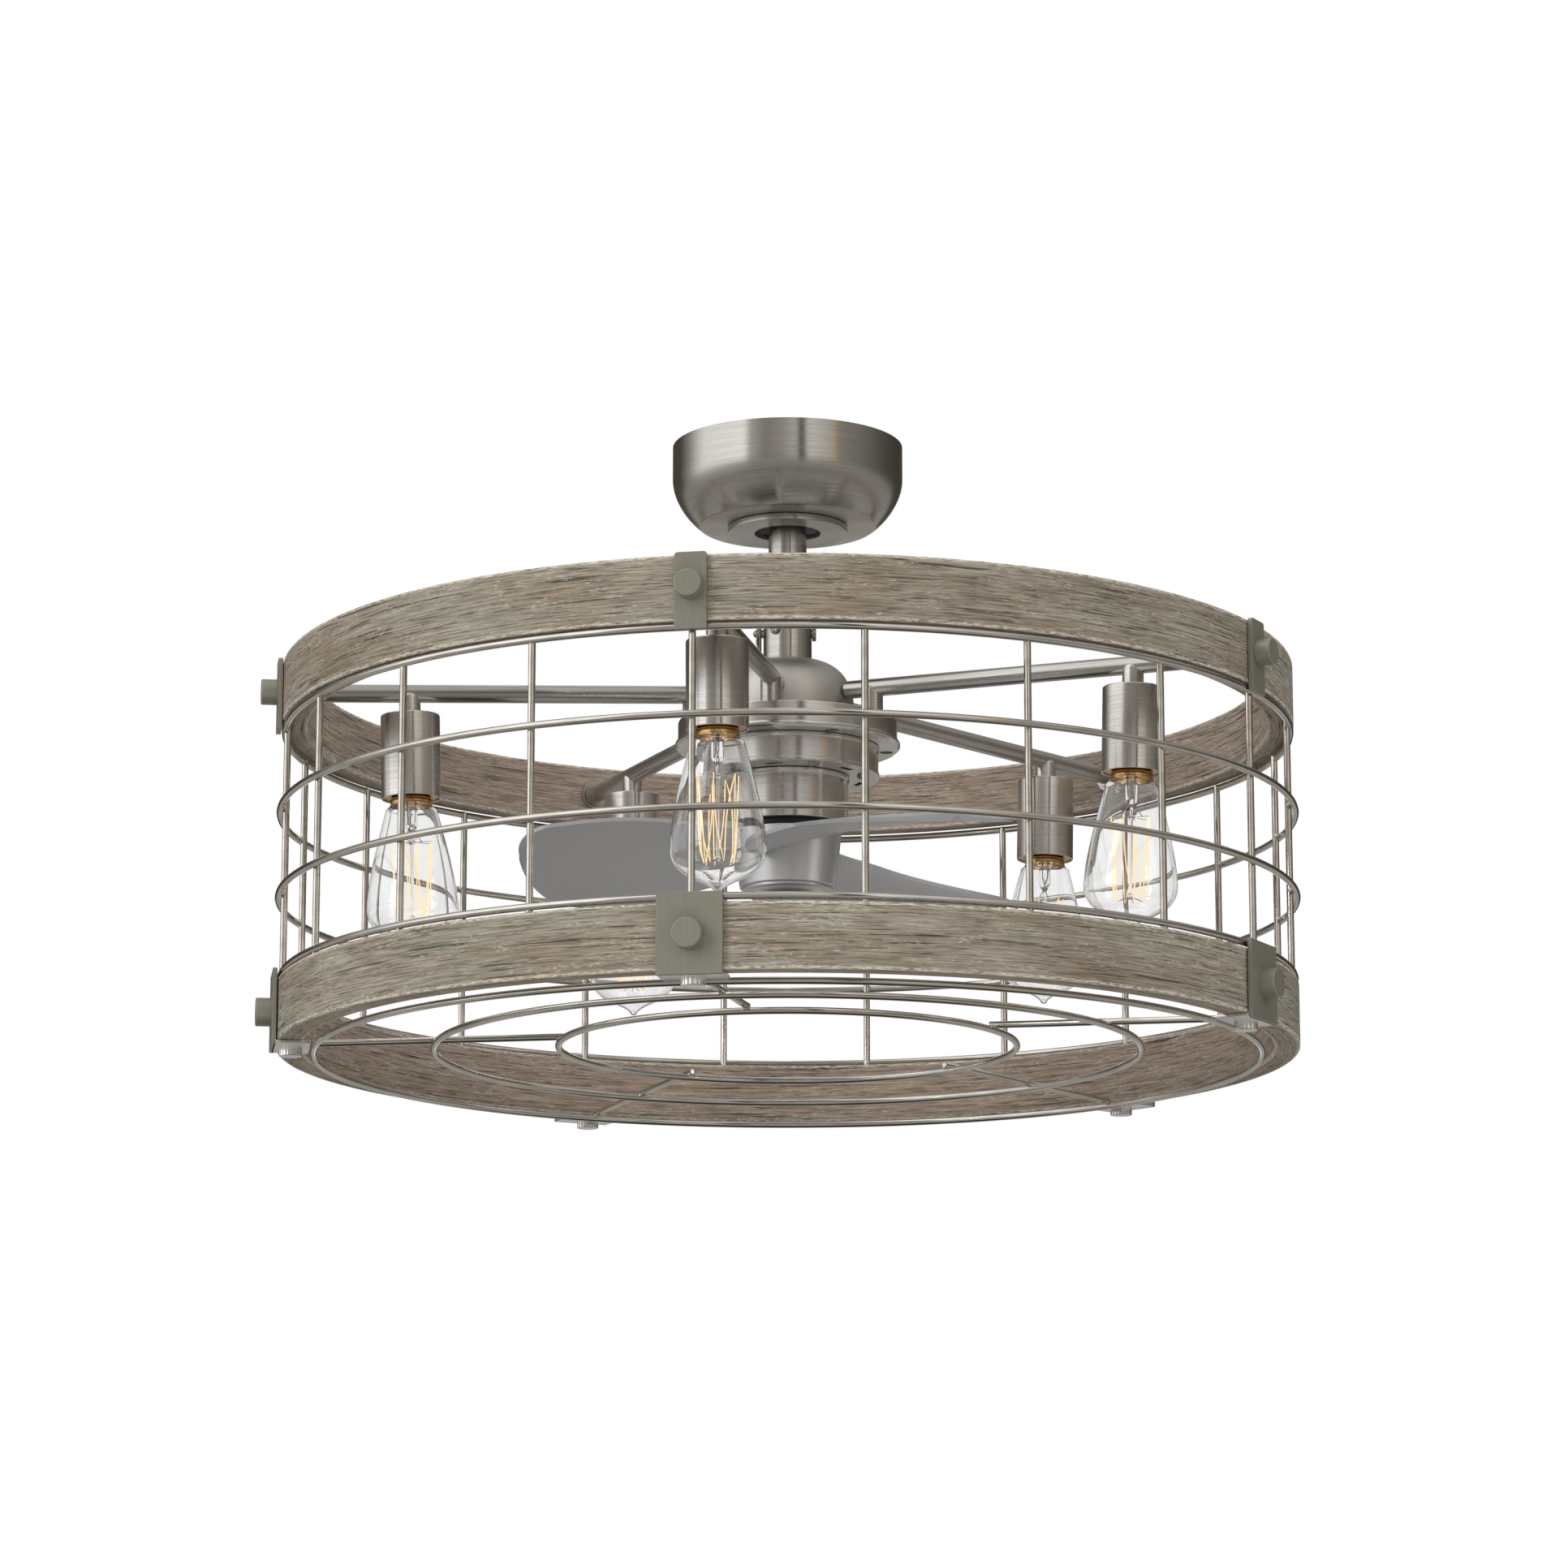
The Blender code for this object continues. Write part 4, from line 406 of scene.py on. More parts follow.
def weathered_wood(colours):
    """Wire-brushed grey-brown wood: raised pale fibres, dark pores and cracks, worn pale edges."""
    material, tree, shader = start_material("Weathered bentwood", colours.wood_light, 0.0, 0.72)
    # Real fibres and pores are 0.1 to 0.3 mm wide and are drawn at 0.6 to 0.9 mm, so that they show
    tone = streaks(tree, 0.11, 0.022)
    fibres = streaks(tree, 0.035, 0.0009, 4.0)
    pores = streaks(tree, 0.014, 0.0006)
    cracks = streaks(tree, 0.06, 0.0016, 3.0)
    flecks = streaks(tree, 0.0045, 0.0006)
    fleck_patches = streaks(tree, 0.03, 0.008)
    moss = streaks(tree, 0.16, 0.03)
    inside = add_node(tree, "Attribute", attribute_name="inside").outputs["Fac"]
    wear = add_node(tree, "Attribute", attribute_name="wear").outputs["Fac"]
    base = colours.wood_light
    # Each layer: its pattern, the span in which it comes in, how strongly, and its colour
    for pattern, start, end, strength, colour in (
            (tone, 0.38, 0.62, 1.0, colours.wood_brown),
            (moss, 0.52, 0.66, 0.8, colours.wood_green),
            # Painted light: the inner faces are painted lighter and warmer
            (inside, 0.2, 0.8, 0.75, colours.inside_painted_light),
            (fibres, 0.38, 0.72, 0.75, colours.wood_dark),
            (pores, 0.54, 0.66, 0.75, colours.wood_dark),
            (cracks, 0.59, 0.66, 0.85, colours.wood_dark)):
        share = add_node(tree, "MapRange",
                         {"Value": pattern, "From Min": start, "From Max": end, "To Max": strength})
        base = add_node(tree, "Mix", {0: share, 6: base, 7: colour}, data_type="RGBA")
    fleck = add_node(tree, "MapRange",
                     {"Value": flecks, "From Min": 0.54, "From Max": 0.70, "To Max": 0.75})
    patch = add_node(tree, "MapRange", {"Value": fleck_patches, "From Min": 0.42, "From Max": 0.62})
    broken = add_node(tree, "MapRange", {"Value": flecks, "From Min": 0.42, "From Max": 0.58,
                                         "To Min": 0.05, "To Max": 0.95})
    # Pale flecks show in patches, and pale wear shows along the edges, broken up by the flecks
    for first, second in ((fleck, patch), (wear, broken)):
        share = add_node(tree, "Math", {0: first, 1: second}, operation="MULTIPLY")
        base = add_node(tree, "Mix", {0: share, 6: base, 7: colours.wood_fleck}, data_type="RGBA")
    sunk = add_node(tree, "MapRange",
                    {"Value": cracks, "From Min": 0.60, "From Max": 0.70, "To Max": 1.2})
    raised = add_node(tree, "MapRange",
                      {"Value": flecks, "From Min": 0.5, "From Max": 0.75, "To Max": 0.5})
    relief = add_node(tree, "Math", {0: fibres, 1: sunk}, operation="SUBTRACT")
    relief = add_node(tree, "Math", {0: relief, 1: raised}, operation="ADD")
    bump = add_node(tree, "Bump", {"Height": relief, "Distance": 0.0005, "Strength": 0.8})
    set_inputs(tree, shader, {"Base Color": base, "Normal": bump})
    return material


def silver_paint(colours):
    """Moulded blade with matt silver paint: a soft even sheen with the faintest orange peel."""
    material, tree, shader = start_material("Silver painted blade", colours.blade, 0.35, 0.42)
    place = add_node(tree, "TexCoord").outputs["Object"]
    # Orange peel of about 2 mm
    peel = add_node(tree, "TexNoise", {"Vector": place, "Scale": 500.0, "Detail": 2.0})
    gloss = add_node(tree, "MapRange",
                     {"Value": peel, **NOISE_SPAN, "To Min": 0.38, "To Max": 0.46})
    bump = add_node(tree, "Bump", {"Height": peel, "Distance": 0.00002, "Strength": 0.1})
    set_inputs(tree, shader, {"Roughness": gloss, "Normal": bump})
    return material


def clear_glass():
    """Blown soda-lime lamp glass: thin and smooth, hardly grey, so it shows mostly at its edges."""
    material, tree, shader = start_material("Clear lamp glass", hex_colour("#F8F8F8"), 0.0, 0.0)
    set_inputs(tree, shader, {"Transmission Weight": 1.0, "IOR": 1.46})
    return material


def glowing_strand(colours):
    """Carbon filament, lit: warm amber that still shows its own colour."""
    material, tree, shader = start_material("Glowing filament", hex_colour("#3A2412"), 0.0, 0.6)
    set_inputs(tree, shader, {"Emission Color": colours.filament, "Emission Strength": 1.25})
    return material


def plain_metal(name, colour, roughness, spread=0.08):
    """Turned, cast or stamped metal, whose gloss changes a little over marks of about 4 x 0.6 mm."""
    material, tree, shader = start_material(name, colour, 1.0, roughness)
    gloss = add_node(tree, "MapRange",
                     {"Value": level_lines(tree, 0.004, 0.0006), **NOISE_SPAN,
                      "To Min": roughness - spread / 2, "To Max": roughness + spread / 2})
    set_inputs(tree, shader, {"Roughness": gloss})
    return material


def black_plastic(colours):
    """Moulded black ABS: matt, with a fine grain."""
    material, tree, shader = start_material("Moulded black plastic", colours.black, 0.0, 0.5)
    place = add_node(tree, "TexCoord").outputs["Object"]
    # Grain of about 1 mm
    grain = add_node(tree, "TexNoise", {"Vector": place, "Scale": 900.0, "Detail": 1.0})
    gloss = add_node(tree, "MapRange",
                     {"Value": grain, **NOISE_SPAN, "To Min": 0.42, "To Max": 0.58})
    set_inputs(tree, shader, {"Roughness": gloss})
    return material


LOOKS = {}


def look(name):
    """The material of that name, made the first time that it is asked for."""
    if name not in LOOKS:
        colours = settings().colours
        makers = {
            "nickel": lambda: brushed_nickel("Brushed nickel plate", colours.nickel),
            # Painted light: a lighter copy of the same brushed nickel, for the brighter light on the
            # casings, the flange and the cups
            "casing": lambda: brushed_nickel("Brushed nickel painted lighter", colours.casing),
            "satin": lambda: plain_metal("Satin nickel", colours.nickel, 0.42, 0.06),
            "foot": lambda: plain_metal("Bright plated steel", colours.foot, 0.25),
            "clip": lambda: plain_metal("Spring steel wire", colours.clip, 0.22),
            "wire": lambda: bright_wire(colours),
            "strap": lambda: satin_strap(colours),
            "wood": lambda: weathered_wood(colours),
            "blade": lambda: silver_paint(colours),
            "glass": clear_glass,
            "filament": lambda: glowing_strand(colours),
            "brass": lambda: plain_metal("Brass shell", colours.brass, 0.24),
            "hub": lambda: plain_metal("Satin hub casting", colours.hub, 0.40, 0.06),
            "zinc": lambda: plain_metal("Zinc-plated steel", colours.zinc, 0.26),
            "laminations": lambda: plain_metal("Steel laminations", colours.laminations, 0.5),
            "black": lambda: black_plastic(colours),
        }
        LOOKS[name] = makers[name]()
    return LOOKS[name]


# Shapes

def merge(*shapes):
    """Put several bmeshes in the first one."""
    first = shapes[0]
    for other in shapes[1:]:
        mesh = bpy.data.meshes.new("joined")
        other.to_mesh(mesh)
        other.free()
        first.from_mesh(mesh)
        bpy.data.meshes.remove(mesh)
    return first


def moved(bm, matrix):
    bmesh.ops.transform(bm, matrix=matrix, verts=bm.verts)
    return bm


def soften(bm, width, segments=2, keep=None):
    """Round the sharp edges, or those of them for which keep, a function of an edge, is true."""
    edges = [edge for edge in bm.edges if len(edge.link_faces) == 2
             and edge.calc_face_angle(0) > BEVEL_ANGLE and (keep is None or keep(edge))]
    bmesh.ops.bevel(bm, geom=edges, offset=width, offset_type="OFFSET", affect="EDGES",
                    segments=segments, profile=0.5, material=-1, clamp_overlap=True)
    return bm


def above(level):
    """A test of edges for soften: those that lie above a height."""
    return lambda edge: all(vert.co.z > level for vert in edge.verts)


def below(level):
    return lambda edge: all(vert.co.z < level for vert in edge.verts)


def outside(radius):
    """A test of edges for soften: those that reach past a distance from the axis."""
    return lambda edge: max(vert.co.xy.length for vert in edge.verts) > radius


def turned(profile, steps=TURN_STEPS, closed=False):
    """Spin an outline of (radius, height) points round Z."""
    bm = bmesh.new()
    points = [bm.verts.new((radius, 0, height)) for radius, height in profile]
    edges = [bm.edges.new(pair) for pair in zip(points, points[1:])]
    if closed:
        edges.append(bm.edges.new((points[-1], points[0])))
    bmesh.ops.spin(bm, geom=points + edges, cent=(0, 0, 0), axis=(0, 0, 1), dvec=(0, 0, 0),
                   angle=math.tau, steps=steps, use_merge=True, use_duplicate=False)
    bmesh.ops.remove_doubles(bm, verts=bm.verts, dist=MERGE_DISTANCE)
    bmesh.ops.recalc_face_normals(bm, faces=bm.faces)
    return bm


def sleeve(inner, outer, bottom, top, steps=TURN_STEPS):
    """A tube with square ends, round Z."""
    return turned([(inner, top), (outer, top), (outer, bottom), (inner, bottom)], steps, True)


def bowed(start, start_handle, end_handle, end, steps=CURVE_STEPS):
    """Points along a curve between two (radius, height) places."""
    places = [Vector((*place, 0)) for place in (start, start_handle, end_handle, end)]
    return [(point.x, point.y) for point in interpolate_bezier(*places, steps + 1)]


def drum(radius, low, high, steps=SMALL_STEPS):
    """An upright cylinder on Z."""
    bm = bmesh.new()
    bmesh.ops.create_cone(bm, cap_ends=True, segments=steps, radius1=radius, radius2=radius,
                          depth=high - low, matrix=Matrix.Translation((0, 0, (low + high) / 2)))
    return bm


def rod_between(radius, start, end, steps=SMALL_STEPS):
    """A straight round bar between two points."""
    start = Vector(start)
    end = Vector(end)
    turn = (end - start).to_track_quat("Z", "Y").to_matrix().to_4x4()
    bar = drum(radius, 0, (end - start).length, steps)
    return moved(bar, Matrix.Translation(start) @ turn)


def block(low, high):
    """A box between two corners."""
    low = Vector(low)
    high = Vector(high)
    bm = bmesh.new()
    bmesh.ops.create_cube(bm, size=1, matrix=Matrix.Translation((low + high) / 2)
                          @ Matrix.Diagonal((*(high - low), 1)))
    return bm


def ball(radius, centre, steps=SMALL_STEPS):
    bm = bmesh.new()
    bmesh.ops.create_uvsphere(bm, u_segments=steps, v_segments=steps // 2, radius=radius,
                              matrix=Matrix.Translation(centre))
    return bm


def hoop(ring_radius, wire_radius, height, steps=RING_STEPS):
    """A level ring of round wire."""
    bm = bmesh.new()
    stand = Matrix.Translation((ring_radius, 0, height)) @ Matrix.Rotation(math.pi / 2, 4, "X")
    bmesh.ops.create_circle(bm, segments=WIRE_STEPS, radius=wire_radius, matrix=stand)
    bmesh.ops.spin(bm, geom=list(bm.verts) + list(bm.edges), cent=(0, 0, 0), axis=(0, 0, 1),
                   dvec=(0, 0, 0), angle=math.tau, steps=steps, use_merge=True, use_duplicate=False)
    bmesh.ops.recalc_face_normals(bm, faces=bm.faces)
    return bm


def bent_wire(path, radius):
    """A round wire along a list of points."""
    curve = bpy.data.curves.new("wire path", "CURVE")
    curve.dimensions = "3D"
    curve.bevel_depth = radius
    curve.bevel_resolution = 2
    curve.use_fill_caps = True
    spline = curve.splines.new("POLY")
    spline.points.add(len(path) - 1)
    for point, place in zip(spline.points, path):
        point.co = (*place, 1)
    holder = bpy.data.objects.new("wire path", curve)
    mesh = bpy.data.meshes.new_from_object(holder)
    bm = bmesh.new()
    bm.from_mesh(mesh)
    bpy.data.meshes.remove(mesh)
    bpy.data.objects.remove(holder)
    bpy.data.curves.remove(curve)
    return bm


def carved(bm, cutter):
    """Cut one bmesh out of another, and return what is left."""
    pair = []
    for shape in (bm, cutter):
        mesh = bpy.data.meshes.new("carving")
        shape.to_mesh(mesh)
        shape.free()
        holder = bpy.data.objects.new("carving", mesh)
        bpy.context.scene.collection.objects.link(holder)
        pair.append(holder)
    cut = pair[0].modifiers.new("cut", "BOOLEAN")
    cut.operation = "DIFFERENCE"
    cut.solver = "EXACT"
    cut.object = pair[1]
    depsgraph = bpy.context.evaluated_depsgraph_get()
    mesh = bpy.data.meshes.new_from_object(pair[0].evaluated_get(depsgraph))
    result = bmesh.new()
    result.from_mesh(mesh)
    bpy.data.meshes.remove(mesh)
    for holder in pair:
        data = holder.data
        bpy.data.objects.remove(holder)
        bpy.data.meshes.remove(data)
    return result


def cross_screw(radius, height):
    """A pan head with a cross recess, which stands on the origin and looks up."""
    profile = [(0, height)] + bowed((radius * 0.5, height), (radius * 0.85, height),
                                    (radius, height * 0.6), (radius, 0), 5) + [(0, 0)]
    head = turned(profile, SMALL_STEPS)
    slot = radius * 0.16
    reach = radius * 0.62
    floor = height * 0.45
    for x, y in ((reach, slot), (slot, reach)):
        head = carved(head, block((-x, -y, floor), (x, y, 2 * height)))
    return head


def hanging_screws(radius, height, circle, level, count, first_angle):
    """Screw heads that look down, in a ring round the axis."""
    head = moved(cross_screw(radius, height), Matrix.Rotation(math.pi, 4, "X"))
    return ring_of(moved(head, Matrix.Translation((circle, 0, level))), count, first_angle)


def along_x(distance, height):
    """Lay an upright shape along +X, with its foot at a distance from the axis."""
    return Matrix.Translation((distance, 0, height)) @ Matrix.Rotation(math.pi / 2, 4, "Y")


def add_piece(name, bm, finish, body, stands_for=()):
    """Turn a bmesh into a finished piece that rides on a body of the frame."""
    mesh = bpy.data.meshes.new(name)
    bm.to_mesh(mesh)
    bm.free()
    mesh.materials.append(look(finish))
    mesh.shade_smooth()
    mesh.set_sharp_from_angle(angle=SHARP_ANGLE)
    piece = bpy.data.objects.new(name, mesh)
    bpy.context.scene.collection.objects.link(piece)
    even = piece.modifiers.new("even shading", "WEIGHTED_NORMAL")
    even.keep_sharp = True
    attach(piece, body)
    if stands_for:
        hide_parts(*stands_for)
    return piece


def add_round(name, bm, finish, body, count=ARM_COUNT, first_angle=FIRST_ARM_ANGLE, node=None):
    """Make turned copies of a piece modelled along +X. Copy n stands for the node with that number."""
    for index in range(count):
        copy = bm.copy()
        moved(copy, Matrix.Rotation(first_angle + index * math.tau / count, 4, "Z"))
        number = index + 1
        stands_for = (f"{node}_{number}",) if node else ()
        add_piece(f"{name}_{number}", copy, finish, body, stands_for)
    bm.free()


def ring_of(bm, count, first_angle):
    """Turned copies of a shape, all in one bmesh."""
    copies = [moved(bm.copy(), Matrix.Rotation(first_angle + index * math.tau / count, 4, "Z"))
              for index in range(count)]
    bm.free()
    return merge(*copies)


# Pieces

def extent(node):
    """Heights of a node's bottom and top, and how far it reaches along +X."""
    low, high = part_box(node)
    return low[2], high[2], high[0]


def build_canopy():
    """The spun bowl on the ceiling and the flat cover plate under it."""
    sizes = settings().canopy
    bottom, _, rim = extent("canopy")
    side = bottom * sizes.side_share
    flat = rim * sizes.flat_share
    cover_bottom, cover_top, cover_rim = extent("canopy_cover")
    hole = cover_rim - 3 * sizes.wall
    profile = [(rim, 0)]
    profile += bowed((rim, side), (rim, bottom * 0.655), (rim * 0.855, bottom * 0.914),
                     (flat, bottom), 14)
    profile += [(hole, bottom), (hole, bottom + sizes.wall)]
    inner = rim - sizes.wall
    profile += bowed((flat, bottom + sizes.wall), (rim * 0.845, bottom * 0.90), (inner, bottom * 0.64),
                     (inner, side), 8)
    profile += [(inner, 0)]
    shell = turned(profile, 2 * TURN_STEPS, True)
    add_piece("canopy_bowl", shell, "nickel", "ceiling", ("canopy",))
    # A black shell just inside the bowl: painted shade that stands for the dark inside of the canopy,
    # so that no light shows through the cover plate's hole
    near = 1.3 * sizes.wall
    far = 1.5 * near
    profile = [(rim - near, -sizes.wall)]
    profile += bowed((rim - near, side), (rim - near, bottom * 0.64), (rim * 0.835, bottom * 0.89),
                     (flat, bottom + near), 8)
    profile += [(hole, bottom + near), (hole, bottom + far)]
    profile += bowed((flat, bottom + far), (rim * 0.83, bottom * 0.87), (rim - far, bottom * 0.63),
                     (rim - far, side), 8)
    profile += [(rim - far, -sizes.wall)]
    shade_shell = turned(profile, TURN_STEPS, True)
    add_piece("canopy_painted_shade", shade_shell, "black", "ceiling")

    plate = sleeve(sizes.cover_hole, cover_rim, cover_bottom, cover_top, 2 * TURN_STEPS)
    soften(plate, 0.0006, 2)
    add_piece("cover_plate", plate, "nickel", "ceiling", ("canopy_cover",))


def clip_path(sizes):
    """The hairpin clip: a straight leg through the pin and a wavy leg outside it."""
    low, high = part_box("hairpin_clip")
    centre = Vector(((low[0] + high[0]) / 2, (low[1] + high[1]) / 2, 0))
    top = high[2] - sizes.clip_wire
    bottom = low[2] + sizes.clip_wire
    half = (high[1] - low[1]) / 2 - sizes.clip_wire
    facing = Matrix.Rotation(math.radians(-50), 3, "Z")
    # Where the straight leg ends and where the wavy one starts, as shares of the wire
    straight_end = 0.4
    wavy_start = 0.55
    steps = 36
    path = []
    for index in range(steps + 1):
        share = index / steps
        if share < straight_end:
            across = half * 0.5
            height = top + (bottom + half - top) * share / straight_end
        elif share < wavy_start:
            turn = math.pi * (share - straight_end) / (wavy_start - straight_end)
            across = half * 0.5 * math.cos(turn)
            height = bottom + half - half * math.sin(turn)
        else:
            rise = (share - wavy_start) / (1 - wavy_start)
            across = half * (0.45 * math.sin(rise * math.tau * 1.5) - 0.5)
            height = bottom + half + (top - bottom - half) * rise
        path.append(centre + facing @ Vector((across, 0, height)))
    return path


def build_downrod():
    """The downrod, the collar on the motor's shaft, and what pins the two together."""
    sizes = settings().canopy
    bottom, top, radius = extent("downrod")
    tube = sleeve(radius - sizes.rod_wall, radius, bottom, top, 2 * LAMP_STEPS)
    soften(tube, 0.0004)
    add_piece("downrod_tube", tube, "nickel", "pendant", ("downrod",))

    bottom, top, outer = extent("coupling")
    bore = radius + 0.0003
    seat = bottom + 0.007
    collar = turned([(bore, top), (outer, top), (outer, bottom), (SHAFT_BORE, bottom),
                     (SHAFT_BORE, seat), (bore, seat)], 2 * LAMP_STEPS, True)
    soften(collar, 0.0007, 2)
    add_piece("shaft_collar", collar, "nickel", "pendant", ("coupling",))

    low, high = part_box("clevis_pin")
    height = (low[2] + high[2]) / 2
    head = (high[2] - low[2]) / 2
    shank = head * 0.577
    button = 0.0028
    pin = merge(rod_between(shank, (low[0] + head * 0.3, 0, height), (high[0] - 0.001, 0, height)),
                ball(shank, (low[0] + head * 0.35, 0, height)),
                moved(soften(drum(head, 0, button), 0.0007, 3), along_x(high[0] - button, height)))
    add_piece("collar_pin", pin, "zinc", "pendant", ("clevis_pin",))

    clip = bent_wire(clip_path(sizes), sizes.clip_wire)
    add_piece("clip_wire", clip, "clip", "pendant", ("hairpin_clip",))

    head = moved(cross_screw(sizes.screw_radius, sizes.screw_height), along_x(outer + 0.0002, height))
    thread = moved(drum(0.002, 0, 0.003), along_x(outer - 0.0025, height))
    screw = moved(merge(head, thread), Matrix.Rotation(math.radians(-120), 4, "Z"))
    add_piece("collar_screw", screw, "zinc", "pendant", ("coupling_screw",))


def build_motor():
    """The spun dome, the flange that carries the arms and the two motor casings."""
    sizes = settings().motor
    bottom, top, radius = extent("motor_dome")
    top += 0.0004
    radius -= 0.001
    shoulder = top - 0.034
    crown = radius * 0.36
    profile = [(SHAFT_BORE, top)]
    profile += bowed((crown, top), (radius * 0.72, top), (radius, top - 0.0118),
                     (radius, shoulder), 14)
    profile += [(radius, bottom), (radius - sizes.wall, bottom), (radius - sizes.wall, shoulder)]
    profile += bowed((radius - sizes.wall, shoulder), (radius - sizes.wall, top - 0.014),
                     (radius * 0.7, top - sizes.wall), (crown, top - sizes.wall), 8)[1:]
    profile += [(SHAFT_BORE, top - sizes.wall)]
    dome = turned(profile, TURN_STEPS, True)
    add_piece("dome_shell", dome, "satin", "pendant", ("motor_dome",))

    bottom, top, lip = extent("arm_flange")
    side = lip - 0.0022
    wall = 0.003
    profile = [(SHAFT_BORE, top), (side, top), (side, bottom + 0.0052)]
    profile += bowed((side, bottom + 0.0046), (lip, bottom + 0.0046), (lip + 0.0003, bottom + 0.0022),
                     (lip - 0.0004, bottom + 0.0012), 6)
    profile += [(lip - 0.0018, bottom), (FLANGE_BORE, bottom), (FLANGE_BORE, bottom + wall),
                (side - wall, bottom + wall), (side - wall, top - wall), (SHAFT_BORE, top - wall)]
    flange = turned(profile, 2 * TURN_STEPS, True)
    soften(flange, sizes.edge, 2, above(top - 0.0001))
    midway = FIRST_ARM_ANGLE + math.pi / ARM_COUNT
    hole = moved(drum(sizes.hole_radius, bottom - 0.002, bottom + 0.006),
                 Matrix.Translation((sizes.hole_circle, 0, 0)))
    flange = carved(flange, ring_of(hole, ARM_COUNT, midway))
    add_piece("flange_drum", flange, "casing", "pendant", ("arm_flange",))
    screws = hanging_screws(0.0034, 0.0018, sizes.hole_circle, bottom + 0.0024, ARM_COUNT, midway)
    add_piece("flange_screws", screws, "zinc", "pendant")

    build_casings(sizes)

    bottom, top, outer = extent("neck_ring")
    neck = soften(sleeve(0.0203, outer, bottom, top), 0.0004)
    add_piece("neck_gap_ring", neck, "black", "pendant", ("neck_ring",))


def build_casings(sizes):
    """The motor's wide casing, with its vents and screws, and the narrow one under it."""
    wall = 0.002
    bottom, top, lip = extent("motor_casing")
    side = lip - 0.0008
    profile = [(CASING_BORE, top), (lip, top), (lip, top - 0.0022), (side, top - 0.0034),
               (side, bottom + 0.0036), (lip, bottom + 0.0026), (lip, bottom), (CASING_BORE, bottom),
               (CASING_BORE, bottom + wall), (side - wall, bottom + wall), (side - wall, top - wall),
               (CASING_BORE, top - wall)]
    casing = turned(profile, 2 * TURN_STEPS, True)
    soften(casing, sizes.edge * 0.6, 2, outside(side))
    slot = block((sizes.screw_circle - sizes.vent_width / 2, -sizes.vent_length / 2, bottom - 0.001),
                 (sizes.screw_circle + sizes.vent_width / 2, sizes.vent_length / 2, bottom + 0.004))
    casing = carved(casing, ring_of(slot, VENT_COUNT, math.radians(-40)))
    add_piece("casing_shell", casing, "casing", "pendant", ("motor_casing",))
    # A black plate inside: painted shade that stands for the dark inside of the casing, which the
    # vents show
    shade_plate = sleeve(CASING_BORE, side - 0.0022, bottom + 0.0035, bottom + 0.0045)
    add_piece("casing_painted_shade", shade_plate, "black", "pendant")
    screws = hanging_screws(0.0040, 0.0024, sizes.screw_circle, bottom + 0.0002, VENT_COUNT,
                            math.radians(-70))
    add_piece("casing_screws", screws, "zinc", "pendant")

    bottom, top, lip = extent("lower_casing")
    side = lip - 0.0010
    profile = [(CASING_BORE, top), (lip, top), (lip, top - 0.0022), (side, top - 0.0032),
               (side, bottom), (SHAFT_BORE, bottom), (SHAFT_BORE, bottom + wall),
               (side - wall, bottom + wall), (side - wall, top - wall), (CASING_BORE, top - wall)]
    casing = turned(profile, TURN_STEPS, True)
    soften(casing, sizes.edge * 0.7, 2, outside(side - 0.001))
    add_piece("lower_casing_shell", casing, "casing", "pendant", ("lower_casing",))


def build_hub():
    """The tapered hub, with a turned step at its foot, and the cap in it."""
    sizes = settings().motor
    bottom, top, _ = extent("blade_hub")
    bore = 0.0123
    inner = 0.0320
    floor = top - 0.0074
    hub = turned([(bore, top), (0.038, top), (0.0337, bottom), (inner, bottom), (inner, floor),
                  (bore, floor)], TURN_STEPS, True)
    soften(hub, sizes.edge, 3, outside(inner + 0.0005))
    add_piece("hub_shell", hub, "hub", "rotor", ("blade_hub",))

    low, _, _ = extent("hub_cap")
    rim = bottom - 0.0003
    edge = 0.0322
    socket = edge - 0.0006
    profile = [(0, rim + 0.001), (edge - 0.004, rim + 0.001), (edge - 0.004, rim + 0.004),
               (socket, rim + 0.004), (socket, rim), (edge, rim), (edge, rim - 0.0016),
               (edge - 0.0016, rim - 0.0026)]
    profile += bowed((edge - 0.0030, rim - 0.0026), (edge * 0.82, rim - 0.0090),
                     (edge * 0.45, low), (0, low), 12)
    cap = turned(profile, TURN_STEPS)
    add_piece("cap_dish", cap, "hub", "rotor", ("hub_cap",))


def blade_widths(out):
    """Reach of the high and the low side, as shares of the widest, at a share of the way out."""
    widest = 0.72
    tip_start = 0.82
    roundness = 2.1
    swell = math.sin(min(max(out, 0) / widest, 1) * math.pi / 2) ** 1.4
    tip = min(max((out - tip_start) / (1 - tip_start), 0), 1)
    rounded = (1 - tip ** roundness) ** (1 / roundness)
    share = (0.46 + 0.54 * swell) * max(rounded, 0.05)
    inside = min(out, 0)
    return share + 0.55 * inside, share + 1.05 * inside


def blade_surface(sizes, out, across):
    """A point of the blade's middle surface. across is 0 at the low edge and 1 at the high one."""
    high_share, low_share = blade_widths(out)
    high = high_share * sizes.high_side
    low = -low_share * sizes.low_side
    reach = max(out, 0)
    pitch = sizes.root_pitch + (sizes.tip_pitch - sizes.root_pitch) * reach
    offset = low + (high - low) * across
    bow = sizes.camber * reach * (1 - (2 * across - 1) ** 2)
    return Vector((sizes.root_radius + out * (sizes.tip_radius - sizes.root_radius),
                   offset * math.cos(pitch) + sizes.sweep * reach ** 2,
                   offset * math.sin(pitch) + bow - sizes.root_drop - sizes.droop * reach))


